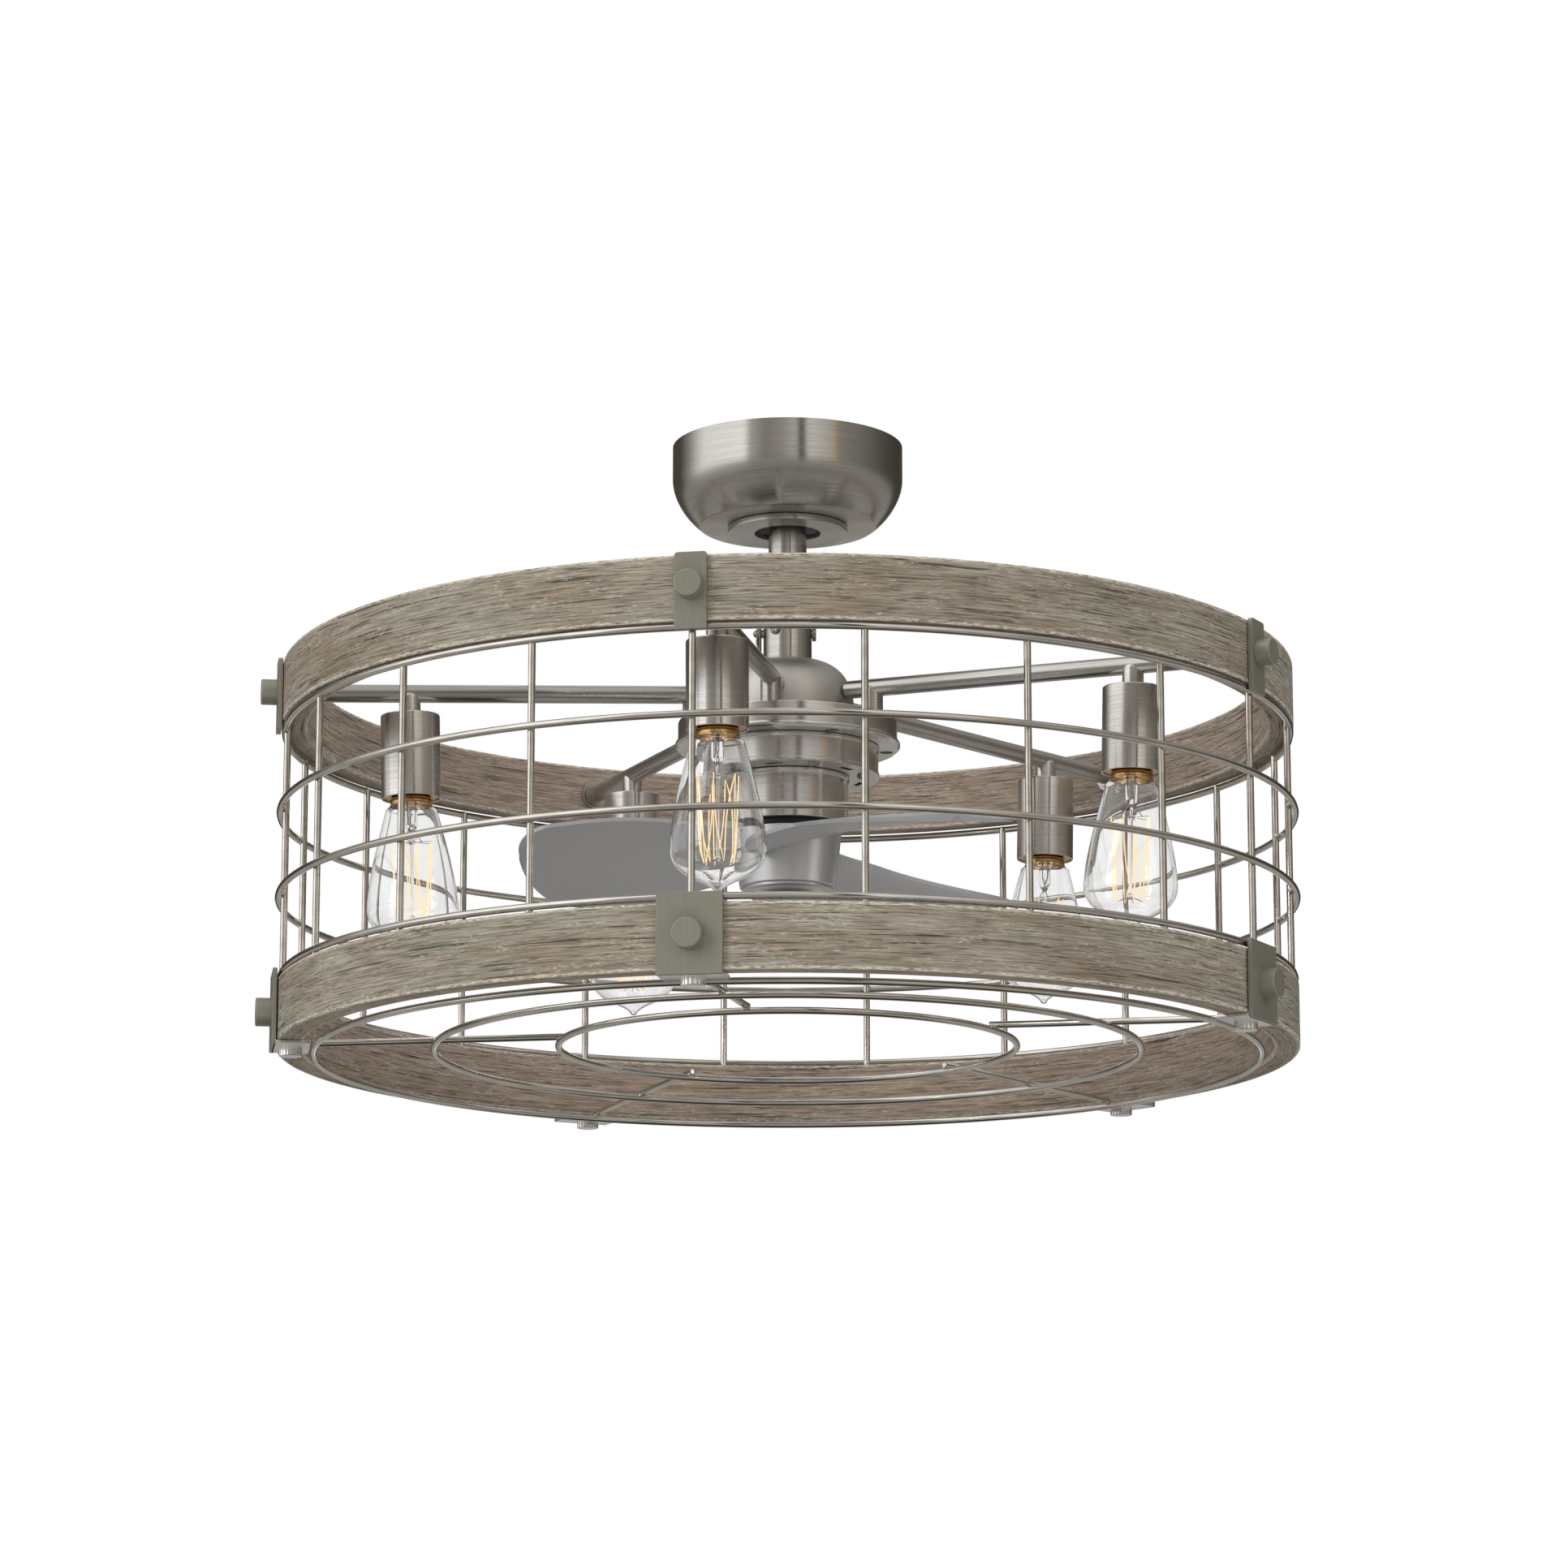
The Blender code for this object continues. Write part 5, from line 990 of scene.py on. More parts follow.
def build_blades():
    """Three moulded paddles, thicker where they meet the hub."""
    sizes = settings().blades
    hub = 0.0352
    buried = 0.21
    shape = bmesh.new()
    half = shape.verts.layers.float.new("half")
    bmesh.ops.create_grid(shape, x_segments=40, y_segments=18, size=0.5)
    for vert in shape.verts:
        out = (1 + buried) * math.sin((vert.co.x + 0.5) * math.pi / 2) ** 0.9 - buried
        vert.co = blade_surface(sizes, out, vert.co.y + 0.5)
        if vert.co.xy.length < hub:
            vert.co.xy *= hub / max(vert.co.xy.length, MERGE_DISTANCE)
        blend_in = max(1 - max(out, 0) / 0.3, 0) ** 2
        vert[half] = (sizes.thickness + (sizes.root_thickness - sizes.thickness) * blend_in) / 2
    shape.normal_update()
    upper = list(shape.verts)
    rims = [edge for edge in shape.edges if edge.is_boundary]
    lower = bmesh.ops.duplicate(shape, geom=upper + list(shape.edges) + list(shape.faces))["geom"]
    rims += [item for item in lower if isinstance(item, bmesh.types.BMEdge) and item.is_boundary]
    for vert in upper:
        vert.co.z += vert[half]
    for item in lower:
        if isinstance(item, bmesh.types.BMVert):
            item.co.z -= item[half]
    bmesh.ops.reverse_faces(shape,
                            faces=[item for item in lower if isinstance(item, bmesh.types.BMFace)])
    bmesh.ops.bridge_loops(shape, edges=rims)
    bmesh.ops.recalc_face_normals(shape, faces=shape.faces)
    soften(shape, 0.0009, 2, lambda edge: edge.calc_face_angle(0) > math.radians(60))
    add_round("fan_blade", shape, "blade", "rotor", BLADE_COUNT, FIRST_BLADE_ANGLE,
              "blade")


def arm_height(distance):
    """Height of an arm's middle line at a distance from the axis."""
    drop = settings().arms.inner_drop
    bottom, top, _ = extent("top_knob_1")
    outer = (bottom + top) / 2
    share = (distance - ARM_START) / (ARM_END - ARM_START)
    return -drop + (outer + drop) * share


def build_arms():
    """Tubes from the dome to the wood, each on a post, with a washer and a collar at the wood."""
    sizes = settings().arms
    start = 0.0475
    end = 0.3350
    tube = rod_between(sizes.radius, (start, 0, arm_height(start)), (end, 0, arm_height(end)))
    _, flange_top, _ = extent("arm_flange")
    post_top = arm_height(sizes.post_circle) + 0.001
    post = soften(drum(sizes.post_radius, flange_top + 0.0003, post_top), 0.0028, 4,
                  above(post_top - 0.0001))
    moved(post, Matrix.Translation((sizes.post_circle, 0, 0)))
    _, _, ring_outside = extent("wood_ring_top")
    wood = ring_outside - settings().rings.thickness - 0.0006
    height = arm_height(wood)
    face = wood - sizes.washer_thickness
    washer = moved(soften(drum(sizes.washer_radius, 0, sizes.washer_thickness), 0.0005, 2),
                   along_x(face, height))
    collar = moved(soften(drum(sizes.washer_radius * 0.82, 0, sizes.collar_length * 0.45), 0.0004, 2),
                   along_x(face - sizes.collar_length * 0.55, height))
    neck = moved(drum(sizes.washer_radius * 0.72, 0, sizes.collar_length),
                 along_x(face - sizes.collar_length * 0.9, height))
    arm = merge(tube, post, washer, collar, neck)
    add_round("lamp_arm", arm, "nickel", "pendant", node="arm")


def hang(bm):
    """Move a shape made round the lamp's own axis to its place, square to the sloping arm."""
    circle = settings().lamps.circle
    height = arm_height(circle)
    tilt = math.atan2(arm_height(ARM_START) - arm_height(ARM_END), ARM_END - ARM_START)
    pivot = Matrix.Translation((circle, 0, height))
    return moved(bm, pivot @ Matrix.Rotation(tilt, 4, "Y") @ Matrix.Translation((0, 0, -height)))


# Pitch of the lamps' rolled thread
LAMP_PITCH = 0.0036

# The lamp glass from neck to tip: curves of (share of the widest radius, share of the length), and
# the steps of each
GLASS_CURVES = (
    (((0.41, 0.020), (0.44, 0.040), (0.47, 0.050), (0.560, 0.075)), 6),
    (((0.560, 0.075), (0.69, 0.23), (0.98, 0.53), (1, 0.72)), 18),
    (((1, 0.72), (1, 0.81), (0.82, 0.86), (0.56, 0.90)), 12),
    (((0.56, 0.90), (0.36, 0.93), (0.14, 0.955), (0.07, 0.985)), 8),
    (((0.07, 0.985), (0.065, 1), (0.03, 1), (0, 1)), 4),
)


def thread_outline(radius, depth, start, pitch, turns):
    """The outline of a rolled thread, up from a height, or down where the pitch is negative."""
    steps = 6
    return [(radius + depth * math.cos(index / steps * math.tau), start + pitch * index / steps)
            for index in range(turns * steps + 1)]


def build_sockets():
    """Brushed cups on round-topped stems, with the threaded brass shells of the lamp holders."""
    sizes = settings().lamps
    top = -sizes.cup_drop
    bottom = top - sizes.cup_height
    radius = sizes.cup_radius
    inner = radius - sizes.cup_wall
    ceiling = top - 0.003
    cup = turned([(0, top), (radius, top), (radius, bottom), (inner, bottom), (inner, ceiling),
                  (0, ceiling)], 2 * LAMP_STEPS)
    soften(cup, 0.0010, 3, lambda edge: all(vert.co.xy.length > radius - 0.0001 for vert in edge.verts)
           and edge.verts[0].co.z > top - 0.001)
    soften(cup, 0.0004, 2, below(bottom + 0.0001))
    arm_z = arm_height(sizes.circle)
    stem = soften(drum(sizes.stem_radius, top - 0.001, arm_z + 0.0005, LAMP_STEPS), 0.0034, 5,
                  above(arm_z))
    add_round("lamp_cup", hang(merge(cup, stem)), "casing", "pendant", node="socket")

    outer = sizes.holder_radius
    rim = bottom + 0.0012
    threads = thread_outline(outer - 0.0014, 0.0006, rim, LAMP_PITCH, 7)
    shell_top = threads[-1][1] + 0.001
    skirt = inner - 0.0004
    shell = turned([(skirt, rim), (outer - 0.0002, rim)] + threads
                   + [(outer - 0.0012, shell_top), (skirt, shell_top)], LAMP_STEPS, True)
    add_round("holder_shell", hang(shell), "brass", "pendant")


def glass_outline(sizes):
    """Radius and height of the lamp glass, from its neck in the cup down to its tip."""
    rim = -sizes.cup_drop - sizes.cup_height
    points = []
    for curve, steps in GLASS_CURVES:
        places = [(sizes.glass_radius * out, rim - sizes.glass_length * down) for out, down in curve]
        points += bowed(*places, steps)[1 if points else 0:]
    return points


def build_bulbs():
    """Pear-shaped lamps: a thin glass, the glass stem in it, wire supports and glowing strands."""
    sizes = settings().lamps
    rim = -sizes.cup_drop - sizes.cup_height
    glass = turned(glass_outline(sizes), 2 * LAMP_STEPS)
    bmesh.ops.solidify(glass, geom=list(glass.faces), thickness=sizes.glass_wall)
    add_round("lamp_glass", hang(glass), "glass", "pendant", node="bulb")

    threads = thread_outline(0.0129, 0.0005, rim + 0.023, -LAMP_PITCH, 6)
    cap = turned([(0, rim + 0.026), (0.006, rim + 0.026), (0.0122, rim + 0.0242)] + threads
                 + [(0.0138, rim + 0.0005), (0.0144, rim - 0.0010), (0.0144, rim - 0.0036),
                    (0.0148, rim - 0.0040), (0.0148, rim - 0.0046), (0.0138, rim - 0.0046),
                    (0.0120, rim + 0.0010), (0, rim + 0.0010)], LAMP_STEPS)
    add_round("lamp_cap", hang(cap), "brass", "pendant")

    # The flare in the neck, the pinch, the thin rod with a bead, and the bead at its foot
    rod = 0.0011
    profile = [(0, rim)] + bowed((0.0088, rim), (0.0050, rim - 0.003), (0.0046, rim - 0.004),
                                 (0.0043, rim - 0.009), 6)
    profile += bowed((0.0043, rim - 0.0185), (0.0036, rim - 0.0215), (0.0014, rim - 0.0225),
                     (rod, rim - 0.026), 6)
    profile += bowed((rod, rim - 0.0288), (0.0026, rim - 0.0288), (0.0026, rim - 0.0325),
                     (rod, rim - 0.0325), 6)
    profile += bowed((rod, rim - 0.083), (0.0024, rim - 0.083), (0.0024, rim - 0.0875),
                     (0, rim - 0.0875), 6)
    stem = turned(profile, SMALL_STEPS)
    add_round("lamp_stem", hang(stem), "glass", "pendant")
    add_strands(sizes, rim)


def add_strands(sizes, rim):
    """Strands that run down and up between two rings of hooks."""
    count = 2 * sizes.strand_count
    top = rim - 0.0305
    bottom = rim - 0.0885
    bulge = 0.0138
    hook_reach = bulge * 0.62
    steps = 8
    path = []
    hooks = []
    for index in range(count):
        # Each strand leans by its own amount, and the last one ends where the first starts
        start = (index + 0.3 * (index % 4)) * math.tau / count
        end = (index + 1 + 0.3 * ((index + 1) % 4 if index + 1 < count else 0)) * math.tau / count
        for step in range(steps):
            share = step / steps
            down = share if index % 2 == 0 else 1 - share
            angle = start + (end - start) * share ** 3
            radius = bulge * (1 - 0.16 * down - 0.12 * max((down - 0.8) / 0.2, 0) ** 2)
            path.append((radius * math.cos(angle), radius * math.sin(angle),
                         top + (bottom - top) * down))
        if index % 2 == 0:
            hooks.append(((0, 0, top), (bulge * math.cos(start), bulge * math.sin(start), top)))
        else:
            hooks.append(((0, 0, rim - 0.0855),
                          (hook_reach * math.cos(start), hook_reach * math.sin(start), bottom)))
    strands = bent_wire(path[:-1], sizes.filament_radius)
    add_round("lamp_filament", hang(strands), "filament", "pendant")
    wires = [rod_between(0.00022, start, end, 8) for start, end in hooks]
    for side in (-1, 1):
        wires.append(bent_wire([(side * 0.0022, 0, rim + 0.001), (side * 0.0018, 0, rim - 0.014),
                                (side * 0.0008, side * 0.0008, rim - 0.0195),
                                (side * 0.0030, side * 0.0015, rim - 0.024),
                                (side * 0.0075, side * 0.002, top)], 0.00035))
    add_round("lamp_supports", hang(merge(*wires)), "zinc", "pendant")


def build_rings():
    """Two bentwood hoops with eased edges, paler where the edges are worn."""
    sizes = settings().rings
    outer = RING_RADIUS
    inner = outer - sizes.thickness
    band = sizes.wear
    for node in ("wood_ring_top", "wood_ring_bottom"):
        bottom, top, _ = extent(node)
        profile = [(inner + band, top), (outer - band, top), (outer, top), (outer, top - band),
                   (outer, bottom + band), (outer, bottom), (outer - band, bottom),
                   (inner + band, bottom), (inner, bottom), (inner, bottom + band),
                   (inner, top - band), (inner, top)]
        ring = turned(profile, RING_STEPS, True)
        soften(ring, sizes.edge, 3)
        wear = ring.verts.layers.float.new("wear")
        # inside marks the inner faces, which the wood material paints lighter and warmer: painted
        # light
        inside = ring.verts.layers.float.new("inside")
        for vert in ring.verts:
            radius = vert.co.xy.length
            from_side = min(abs(radius - outer), abs(radius - inner))
            from_end = min(abs(vert.co.z - top), abs(vert.co.z - bottom))
            vert[wear] = 1.0 if from_side + from_end < sizes.edge * 1.1 else 0.0
            vert[inside] = 1.0 if radius < outer - sizes.thickness / 2 else 0.0
        add_piece(node + "_bentwood", ring, "wood", "pendant", (node,))


def build_cage():
    """Four hoops of round wire welded to twenty upright rods."""
    sizes = settings().wires
    gap = 0.0012
    sunk = 0.0009
    top = extent("wood_ring_top")[0] - gap - sizes.wire
    bottom = extent("wood_ring_bottom")[1] + gap + sizes.wire
    hoops = ((sizes.end_hoop, top), (sizes.middle_hoop, -sizes.upper_drop),
             (sizes.middle_hoop, -sizes.lower_drop), (sizes.end_hoop, bottom))
    rod = rod_between(sizes.rod, (sizes.rod_circle, 0, bottom - sizes.wire - sunk),
                      (sizes.rod_circle, 0, top + sizes.wire * 0.4), 16)
    welds = [moved(ball(sizes.wire * 1.12, (0, 0, 0), 16),
                   Matrix.Translation((sizes.rod_circle + sunk, 0, height))
                   @ Matrix.Diagonal((1, 1.25, 0.9, 1))) for _, height in hoops]
    cage = merge(*(hoop(radius, sizes.wire, height) for radius, height in hoops),
                 ring_of(merge(rod, *welds), CAGE_ROD_COUNT, FIRST_ARM_ANGLE))
    add_piece("cage_wires", cage, "wire", "pendant", ("cage",))


def build_grille():
    """Three hoops under five spokes, with a weld nub at each crossing."""
    sizes = settings().wires
    outer_z = -sizes.grille_drop
    inner_z = outer_z + sizes.inner_rise
    hoops = ((sizes.grille_outer, outer_z), (sizes.grille_middle, outer_z + sizes.middle_rise),
             (sizes.grille_inner, inner_z))
    slope = sizes.inner_rise / (sizes.grille_outer - sizes.grille_inner)
    start = (sizes.grille_inner - sizes.spoke_overhang, 0,
             inner_z + sizes.spoke_lift + slope * sizes.spoke_overhang)
    end = (sizes.grille_outer + sizes.wire * 0.4, 0, outer_z + sizes.spoke_lift)
    spoke = soften(rod_between(sizes.wire * 0.98, start, end, 16), 0.0008, 2)
    nubs = [moved(ball(sizes.wire * 0.95, (0, 0, 0), 16),
                  Matrix.Translation((radius, 0, height + sizes.spoke_lift / 2))
                  @ Matrix.Diagonal((1.1, 1.25, 1, 1))) for radius, height in hoops]
    grille = merge(*(hoop(radius, sizes.wire, height) for radius, height in hoops),
                   ring_of(merge(spoke, *nubs), ARM_COUNT, FIRST_ARM_ANGLE))
    add_piece("grille_wires", grille, "wire", "pendant", ("bottom_grille",))


def knob_shape(radius, length, edge):
    """A round knob with a fine eased rim, which stands on the origin."""
    return soften(drum(radius, 0, length, LAMP_STEPS), 2 * edge, 3, above(length / 2))


def build_top_brackets():
    """A strap over each arm's end, which holds the cage's top wire to the wood, and its knob."""
    sizes = settings().brackets
    bottom, top, _ = extent("top_bracket_3")
    outer = STRAP_INNER + sizes.top_thickness
    half = sizes.top_width / 2
    strap = block((STRAP_INNER, -half, bottom), (outer, half, top))
    middle = (top + bottom) / 2
    soften(strap, sizes.top_corner, 5,
           lambda edge: abs(edge.verts[0].co.x - edge.verts[1].co.x) > 0.001
           and edge.verts[0].co.z > middle)
    soften(strap, sizes.edge, 2)
    add_round("top_strap", strap, "strap", "pendant", node="top_bracket")
    knob = moved(knob_shape(sizes.top_knob, sizes.knob_length, sizes.edge),
                 along_x(outer + 0.0002, arm_height(ARM_END)))
    add_round("strap_knob", knob, "strap", "pendant", node="top_knob")


def fluted_nut(sizes, top, bottom):
    """A thumb nut with flutes round it and an eased lower edge."""
    groove = 0.955
    nut = drum(sizes.nut_radius, bottom, top, 2 * sizes.nut_flutes)
    for vert in nut.verts:
        step = round(math.atan2(vert.co.y, vert.co.x) / (math.pi / sizes.nut_flutes))
        if step % 2:
            vert.co.xy *= groove
    soften(nut, 0.0003, 1, below(bottom + 0.0001))
    return moved(nut, Matrix.Translation((sizes.nut_circle, 0, 0)))


def build_bottom_brackets():
    """An angle strap outside and under the wood, with a knob on its side and a fluted nut below."""
    sizes = settings().brackets
    wires = settings().wires
    ring_low, ring_high, _ = extent("wood_ring_bottom")
    low, high, _ = extent("bottom_bracket_1")
    outer = STRAP_INNER + sizes.bottom_thickness
    half = sizes.bottom_width / 2
    foot_top = ring_low - 0.0003
    foot_bottom = foot_top - sizes.foot_thickness
    strap = soften(block((STRAP_INNER, -half, foot_bottom), (outer, half, high)), sizes.edge, 2)
    foot = soften(block((wires.grille_outer + wires.wire + 0.0001, -half, foot_bottom),
                        (STRAP_INNER + sizes.bottom_thickness * 0.6, half, foot_top)), sizes.edge, 2)
    knob = moved(knob_shape(sizes.bottom_knob, sizes.knob_length, sizes.edge),
                 along_x(outer - 0.0004, (ring_high + ring_low) / 2))
    nut = fluted_nut(sizes, foot_bottom + 0.0004, low)
    add_round("bottom_strap", merge(strap, knob), "strap", "pendant",
              node="bottom_bracket")
    add_round("strap_foot", merge(foot, nut), "foot", "pendant")


HIDDEN_NODES = {
    "ceiling_bracket": "zinc", "cross_pin": "zinc", "motor_shaft": "zinc", "upper_bearing": "zinc",
    "lower_bearing": "zinc", "hanger_ball": "black", "receiver_module": "black",
    "stator_core": "laminations", "magnet_ring": "laminations",
}


def finish_hidden_parts():
    """Give the pieces inside the canopy and the motor, whose shapes are the frame's, their metals."""
    for node, finish in HIDDEN_NODES.items():
        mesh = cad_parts[node].data
        mesh.materials.clear()
        mesh.materials.append(look(finish))


# Studio

def add_softbox(name, place, target, width, height, power):
    """A rectangular area light that faces a point."""
    light = bpy.data.lights.new(name, "AREA")
    light.shape = "RECTANGLE"
    light.size = width
    light.size_y = height
    light.energy = power
    holder = bpy.data.objects.new(name, light)
    holder.location = place
    holder.rotation_euler = (Vector(target) - Vector(place)).to_track_quat("-Z", "Y").to_euler()
    # What metal shows of a softbox is in the surround, where it can't burn out
    holder.visible_glossy = False
    bpy.context.scene.collection.objects.link(holder)


SURROUND_STOPS = (
    (-180, "#DADADA"), (-169, "#3E3A34"), (-134, "#45413B"), (-116, "#8F8C87"), (-92, "#F4F4F4"),
    (-44, "#FFFFFF"), (-38, "#A8A6A2"), (-22, "#7F7C77"), (-4, "#96938E"), (9, "#B9B6B1"),
    (12, "#322D28"), (16, "#322D28"), (20, "#D2D0CC"), (44, "#B0ADA8"), (47, "#C2A37E"),
    (52, "#86837D"), (84, "#6B6862"), (112, "#4A463F"), (138, "#3A362F"), (169, "#3E3A34"),
    (180, "#DADADA"),
)


def build_world(strength):
    """Even light all round. Metal sees a white backdrop with grey wings and two bright softboxes."""
    world = bpy.data.worlds.new("Studio surround")
    world.use_nodes = True
    bpy.context.scene.world = world
    tree = world.node_tree
    tree.nodes.clear()
    direction = add_node(tree, "TexCoord").outputs["Generated"]
    parts = add_node(tree, "SeparateXYZ", {0: direction})
    toward = add_node(tree, "Math", {0: parts.outputs["Y"], 1: -1}, operation="MULTIPLY")
    turn = add_node(tree, "Math", {0: parts.outputs["X"], 1: toward}, operation="ARCTAN2")
    around = add_node(tree, "MapRange", {"Value": turn, "From Min": -math.pi, "From Max": math.pi})
    wings = add_node(tree, "ValToRGB", {0: around})
    stops = wings.color_ramp.elements
    stops[0].color = hex_colour(SURROUND_STOPS[0][1])
    stops[1].color = hex_colour(SURROUND_STOPS[-1][1])
    for angle, code in SURROUND_STOPS[1:-1]:
        stops.new((angle + 180) / 360).color = hex_colour(code)
    overhead = add_node(tree, "MapRange", {"Value": parts.outputs["Z"], "From Min": 0.34,
                                           "From Max": 0.62, "To Max": 0.25})
    room = add_node(tree, "Mix", {0: overhead, 6: wings, 7: hex_colour("#F2F2F2")},
                    data_type="RGBA")
    rays = add_node(tree, "LightPath")
    seen = add_node(tree, "Math", {0: rays.outputs["Is Camera Ray"],
                                   1: rays.outputs["Is Transmission Ray"]},
                    operation="MAXIMUM")
    soft = add_node(tree, "Background", {"Color": (1, 1, 1, 1), "Strength": strength})
    white = add_node(tree, "Background", {"Color": (1, 1, 1, 1), "Strength": 1.0})
    mirrored = add_node(tree, "Background", {"Color": room, "Strength": 1.4})
    unseen = add_node(tree, "MixShader", {0: rays.outputs["Is Glossy Ray"], 1: soft, 2: mirrored})
    surround = add_node(tree, "MixShader", {0: seen, 1: unseen, 2: white})
    add_node(tree, "OutputWorld", {"Surface": surround})


def pale_floor(colour):
    """Matt painted floor. The camera, and the glass before it, see it paler than it lights the fan."""
    material, tree, shader = start_material("Pale studio floor", colour, 0.0, 0.9)
    rays = add_node(tree, "LightPath")
    seen = add_node(tree, "Math", {0: rays.outputs["Is Camera Ray"],
                                   1: rays.outputs["Is Transmission Ray"]},
                    operation="MAXIMUM")
    # Metal sees a darker round patch under the fan, which draws a dark line along each wire
    here = add_node(tree, "TexCoord").outputs["Object"]
    level = add_node(tree, "VectorMath", {0: here, 1: (1, 1, 0)}, operation="MULTIPLY")
    away = add_node(tree, "VectorMath", {0: level}, operation="LENGTH")
    beyond = add_node(tree, "MapRange", {"Value": away, "From Min": 1.3, "From Max": 2.8})
    patch = add_node(tree, "Mix", {0: beyond, 6: hex_colour("#35332F"), 7: colour},
                     data_type="RGBA")
    mirrored = add_node(tree, "Mix", {0: rays.outputs["Is Glossy Ray"], 6: colour, 7: patch},
                        data_type="RGBA")
    pale = add_node(tree, "Mix", {0: seen, 6: mirrored, 7: hex_colour("#F4F3F0")}, data_type="RGBA")
    set_inputs(tree, shader, {"Base Color": pale})
    return material


def build_studio():
    """A pale floor at room height, soft lights, the camera and plain colour settings."""
    scene = bpy.context.scene
    sizes = settings().studio
    plane = bmesh.new()
    bmesh.ops.create_grid(plane, x_segments=1, y_segments=1, size=sizes.floor_size / 2,
                          matrix=Matrix.Translation((0, 0, -sizes.floor_drop)))
    mesh = bpy.data.meshes.new("studio_floor")
    plane.to_mesh(mesh)
    plane.free()
    mesh.materials.append(pale_floor(settings().colours.floor))
    floor = bpy.data.objects.new("studio_floor", mesh)
    scene.collection.objects.link(floor)

    middle = (0, 0, -0.28)
    add_softbox("key_softbox", (-1.9, -1.9, 0.35), middle, 0.9, 2.2, sizes.key_power)
    add_softbox("fill_softbox", (2.3, -1.5, 0.1), middle, 0.8, 2.2, sizes.fill_power)
    add_softbox("top_softbox", (0, -0.4, 1.9), middle, 2.0, 1.6, sizes.top_power)
    add_softbox("bounce_softbox", (0, -1.9, -1.6), middle, 2.2, 1.0, sizes.bounce_power)
    build_world(sizes.surround)

    camera = bpy.data.cameras.new("photo_camera")
    camera.lens = CAMERA_LENS
    camera.sensor_width = CAMERA_SENSOR
    holder = bpy.data.objects.new("photo_camera", camera)
    holder.location = CAMERA_PLACE
    holder.rotation_euler = (CAMERA_PITCH, 0, 0)
    scene.collection.objects.link(holder)
    scene.camera = holder
    scene.view_settings.view_transform = "Standard"


# Operators

class FAN_OT_studio(bpy.types.Operator):
    """Set up the floor, the lights and the camera"""
    bl_idname = "fan.studio"
    bl_label = "Studio"

    def execute(self, context):
        build_studio()
        return {"FINISHED"}


class FAN_OT_canopy(bpy.types.Operator):
    """Model the canopy and its cover plate"""
    bl_idname = "fan.canopy"
    bl_label = "Canopy"

    def execute(self, context):
        build_canopy()
        return {"FINISHED"}


class FAN_OT_downrod(bpy.types.Operator):
    """Model the downrod, its collar and their pin"""
    bl_idname = "fan.downrod"
    bl_label = "Downrod"

    def execute(self, context):
        build_downrod()
        return {"FINISHED"}


class FAN_OT_motor(bpy.types.Operator):
    """Model the dome, the flange and the motor casings"""
    bl_idname = "fan.motor"
    bl_label = "Motor"

    def execute(self, context):
        build_motor()
        return {"FINISHED"}


class FAN_OT_hub(bpy.types.Operator):
    """Model the hub and its cap"""
    bl_idname = "fan.hub"
    bl_label = "Hub"

    def execute(self, context):
        build_hub()
        return {"FINISHED"}


class FAN_OT_blades(bpy.types.Operator):
    """Model the three blades"""
    bl_idname = "fan.blades"
    bl_label = "Blades"

    def execute(self, context):
        build_blades()
        return {"FINISHED"}


class FAN_OT_arms(bpy.types.Operator):
    """Model the five arms"""
    bl_idname = "fan.arms"
    bl_label = "Arms"

    def execute(self, context):
        build_arms()
        return {"FINISHED"}


class FAN_OT_sockets(bpy.types.Operator):
    """Model the lamp cups and holders"""
    bl_idname = "fan.sockets"
    bl_label = "Lamp cups"

    def execute(self, context):
        build_sockets()
        return {"FINISHED"}


class FAN_OT_bulbs(bpy.types.Operator):
    """Model the lamps with their filaments"""
    bl_idname = "fan.bulbs"
    bl_label = "Lamps"

    def execute(self, context):
        build_bulbs()
        return {"FINISHED"}


class FAN_OT_rings(bpy.types.Operator):
    """Model the two bentwood rings"""
    bl_idname = "fan.rings"
    bl_label = "Wood rings"

    def execute(self, context):
        build_rings()
        return {"FINISHED"}


class FAN_OT_cage(bpy.types.Operator):
    """Model the wire cage"""
    bl_idname = "fan.cage"
    bl_label = "Cage"

    def execute(self, context):
        build_cage()
        return {"FINISHED"}


class FAN_OT_grille(bpy.types.Operator):
    """Model the grille under the cage"""
    bl_idname = "fan.grille"
    bl_label = "Grille"

    def execute(self, context):
        build_grille()
        return {"FINISHED"}


class FAN_OT_top_brackets(bpy.types.Operator):
    """Model the top straps and their knobs"""
    bl_idname = "fan.top_brackets"
    bl_label = "Top straps"

    def execute(self, context):
        build_top_brackets()
        return {"FINISHED"}


class FAN_OT_bottom_brackets(bpy.types.Operator):
    """Model the bottom straps, knobs and nuts"""
    bl_idname = "fan.bottom_brackets"
    bl_label = "Bottom straps"

    def execute(self, context):
        build_bottom_brackets()
        return {"FINISHED"}


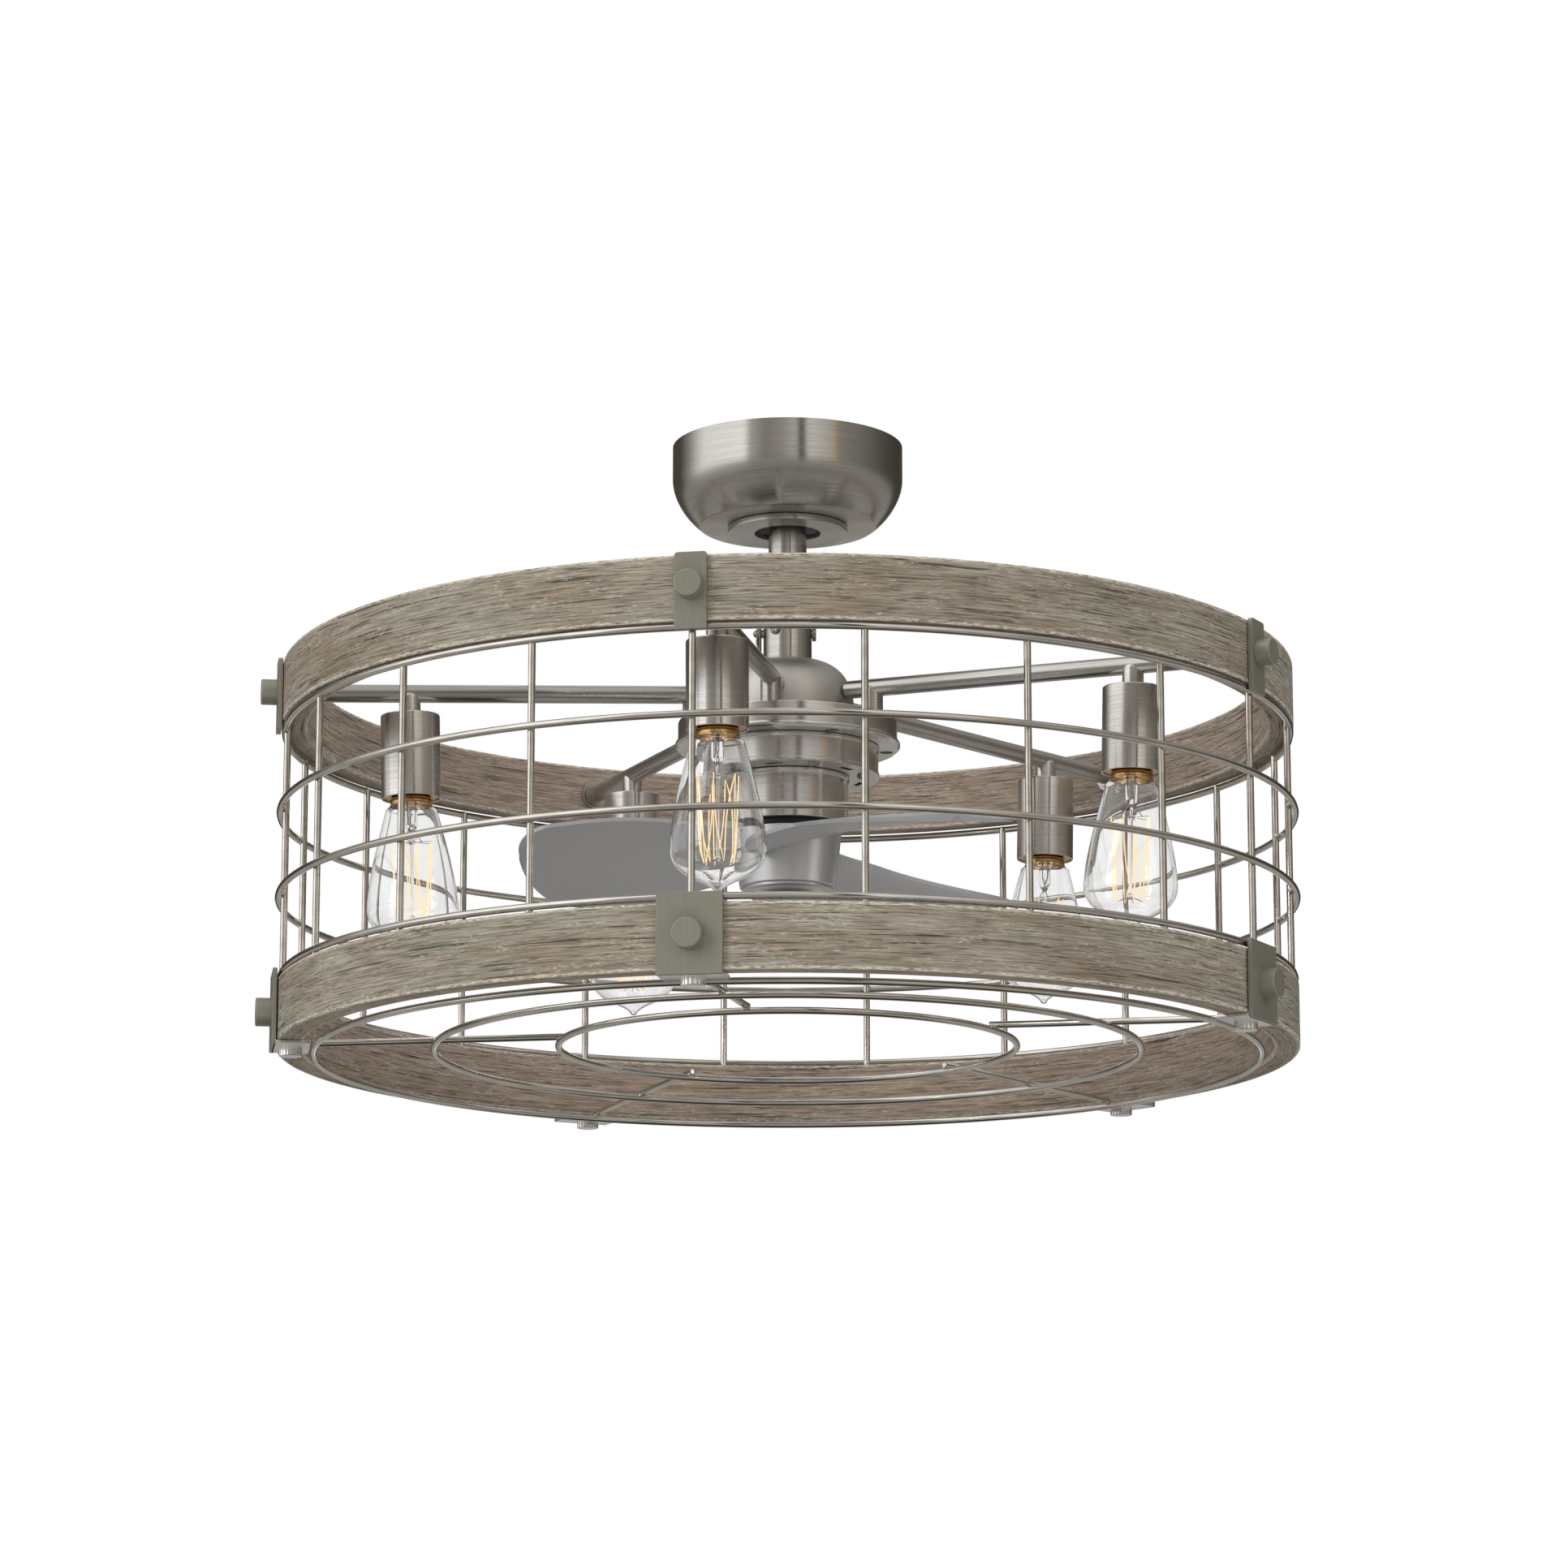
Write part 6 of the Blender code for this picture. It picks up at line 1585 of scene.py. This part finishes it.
class FAN_OT_hidden_parts(bpy.types.Operator):
    """Finish the parts inside the canopy and the motor"""
    bl_idname = "fan.hidden_parts"
    bl_label = "Hidden parts"

    def execute(self, context):
        finish_hidden_parts()
        return {"FINISHED"}


OPERATORS = (FAN_OT_studio, FAN_OT_canopy, FAN_OT_downrod, FAN_OT_motor, FAN_OT_hub, FAN_OT_blades,
             FAN_OT_arms, FAN_OT_sockets, FAN_OT_bulbs, FAN_OT_rings, FAN_OT_cage, FAN_OT_grille,
             FAN_OT_top_brackets, FAN_OT_bottom_brackets, FAN_OT_hidden_parts)
SIZE_GROUPS = (FanCanopySizes, FanMotorSizes, FanBladeSizes, FanArmSizes, FanLampSizes, FanRingSizes,
               FanWireSizes, FanBracketSizes, FanColours, FanStudioSizes)


class FAN_PT_panel(bpy.types.Panel):
    """The fan's operators and settings in the sidebar"""
    bl_idname = "FAN_PT_panel"
    bl_label = "Caged chandelier fan"
    bl_space_type = "VIEW_3D"
    bl_region_type = "UI"
    bl_category = "Fan"

    def draw(self, context):
        layout = self.layout
        for operator in OPERATORS:
            layout.operator(operator.bl_idname)
        for group_name in FanSettings.__annotations__:
            group = getattr(context.scene.fan_settings, group_name)
            box = layout.box()
            box.label(text=group_name.capitalize())
            for name in group.__annotations__:
                box.prop(group, name)


CLASSES = SIZE_GROUPS + (FanSettings,) + OPERATORS + (FAN_PT_panel,)


def register():
    for item in CLASSES:
        bpy.utils.register_class(item)
    bpy.types.Scene.fan_settings = PointerProperty(type=FanSettings)


def unregister():
    del bpy.types.Scene.fan_settings
    for item in reversed(CLASSES):
        bpy.utils.unregister_class(item)


def main():
    register()
    bpy.ops.fan.studio()
    bpy.ops.fan.canopy()
    bpy.ops.fan.downrod()
    bpy.ops.fan.motor()
    bpy.ops.fan.hub()
    bpy.ops.fan.blades()
    bpy.ops.fan.arms()
    bpy.ops.fan.sockets()
    bpy.ops.fan.bulbs()
    bpy.ops.fan.rings()
    bpy.ops.fan.cage()
    bpy.ops.fan.grille()
    bpy.ops.fan.top_brackets()
    bpy.ops.fan.bottom_brackets()
    bpy.ops.fan.hidden_parts()


if __name__ == "__main__":
    main()
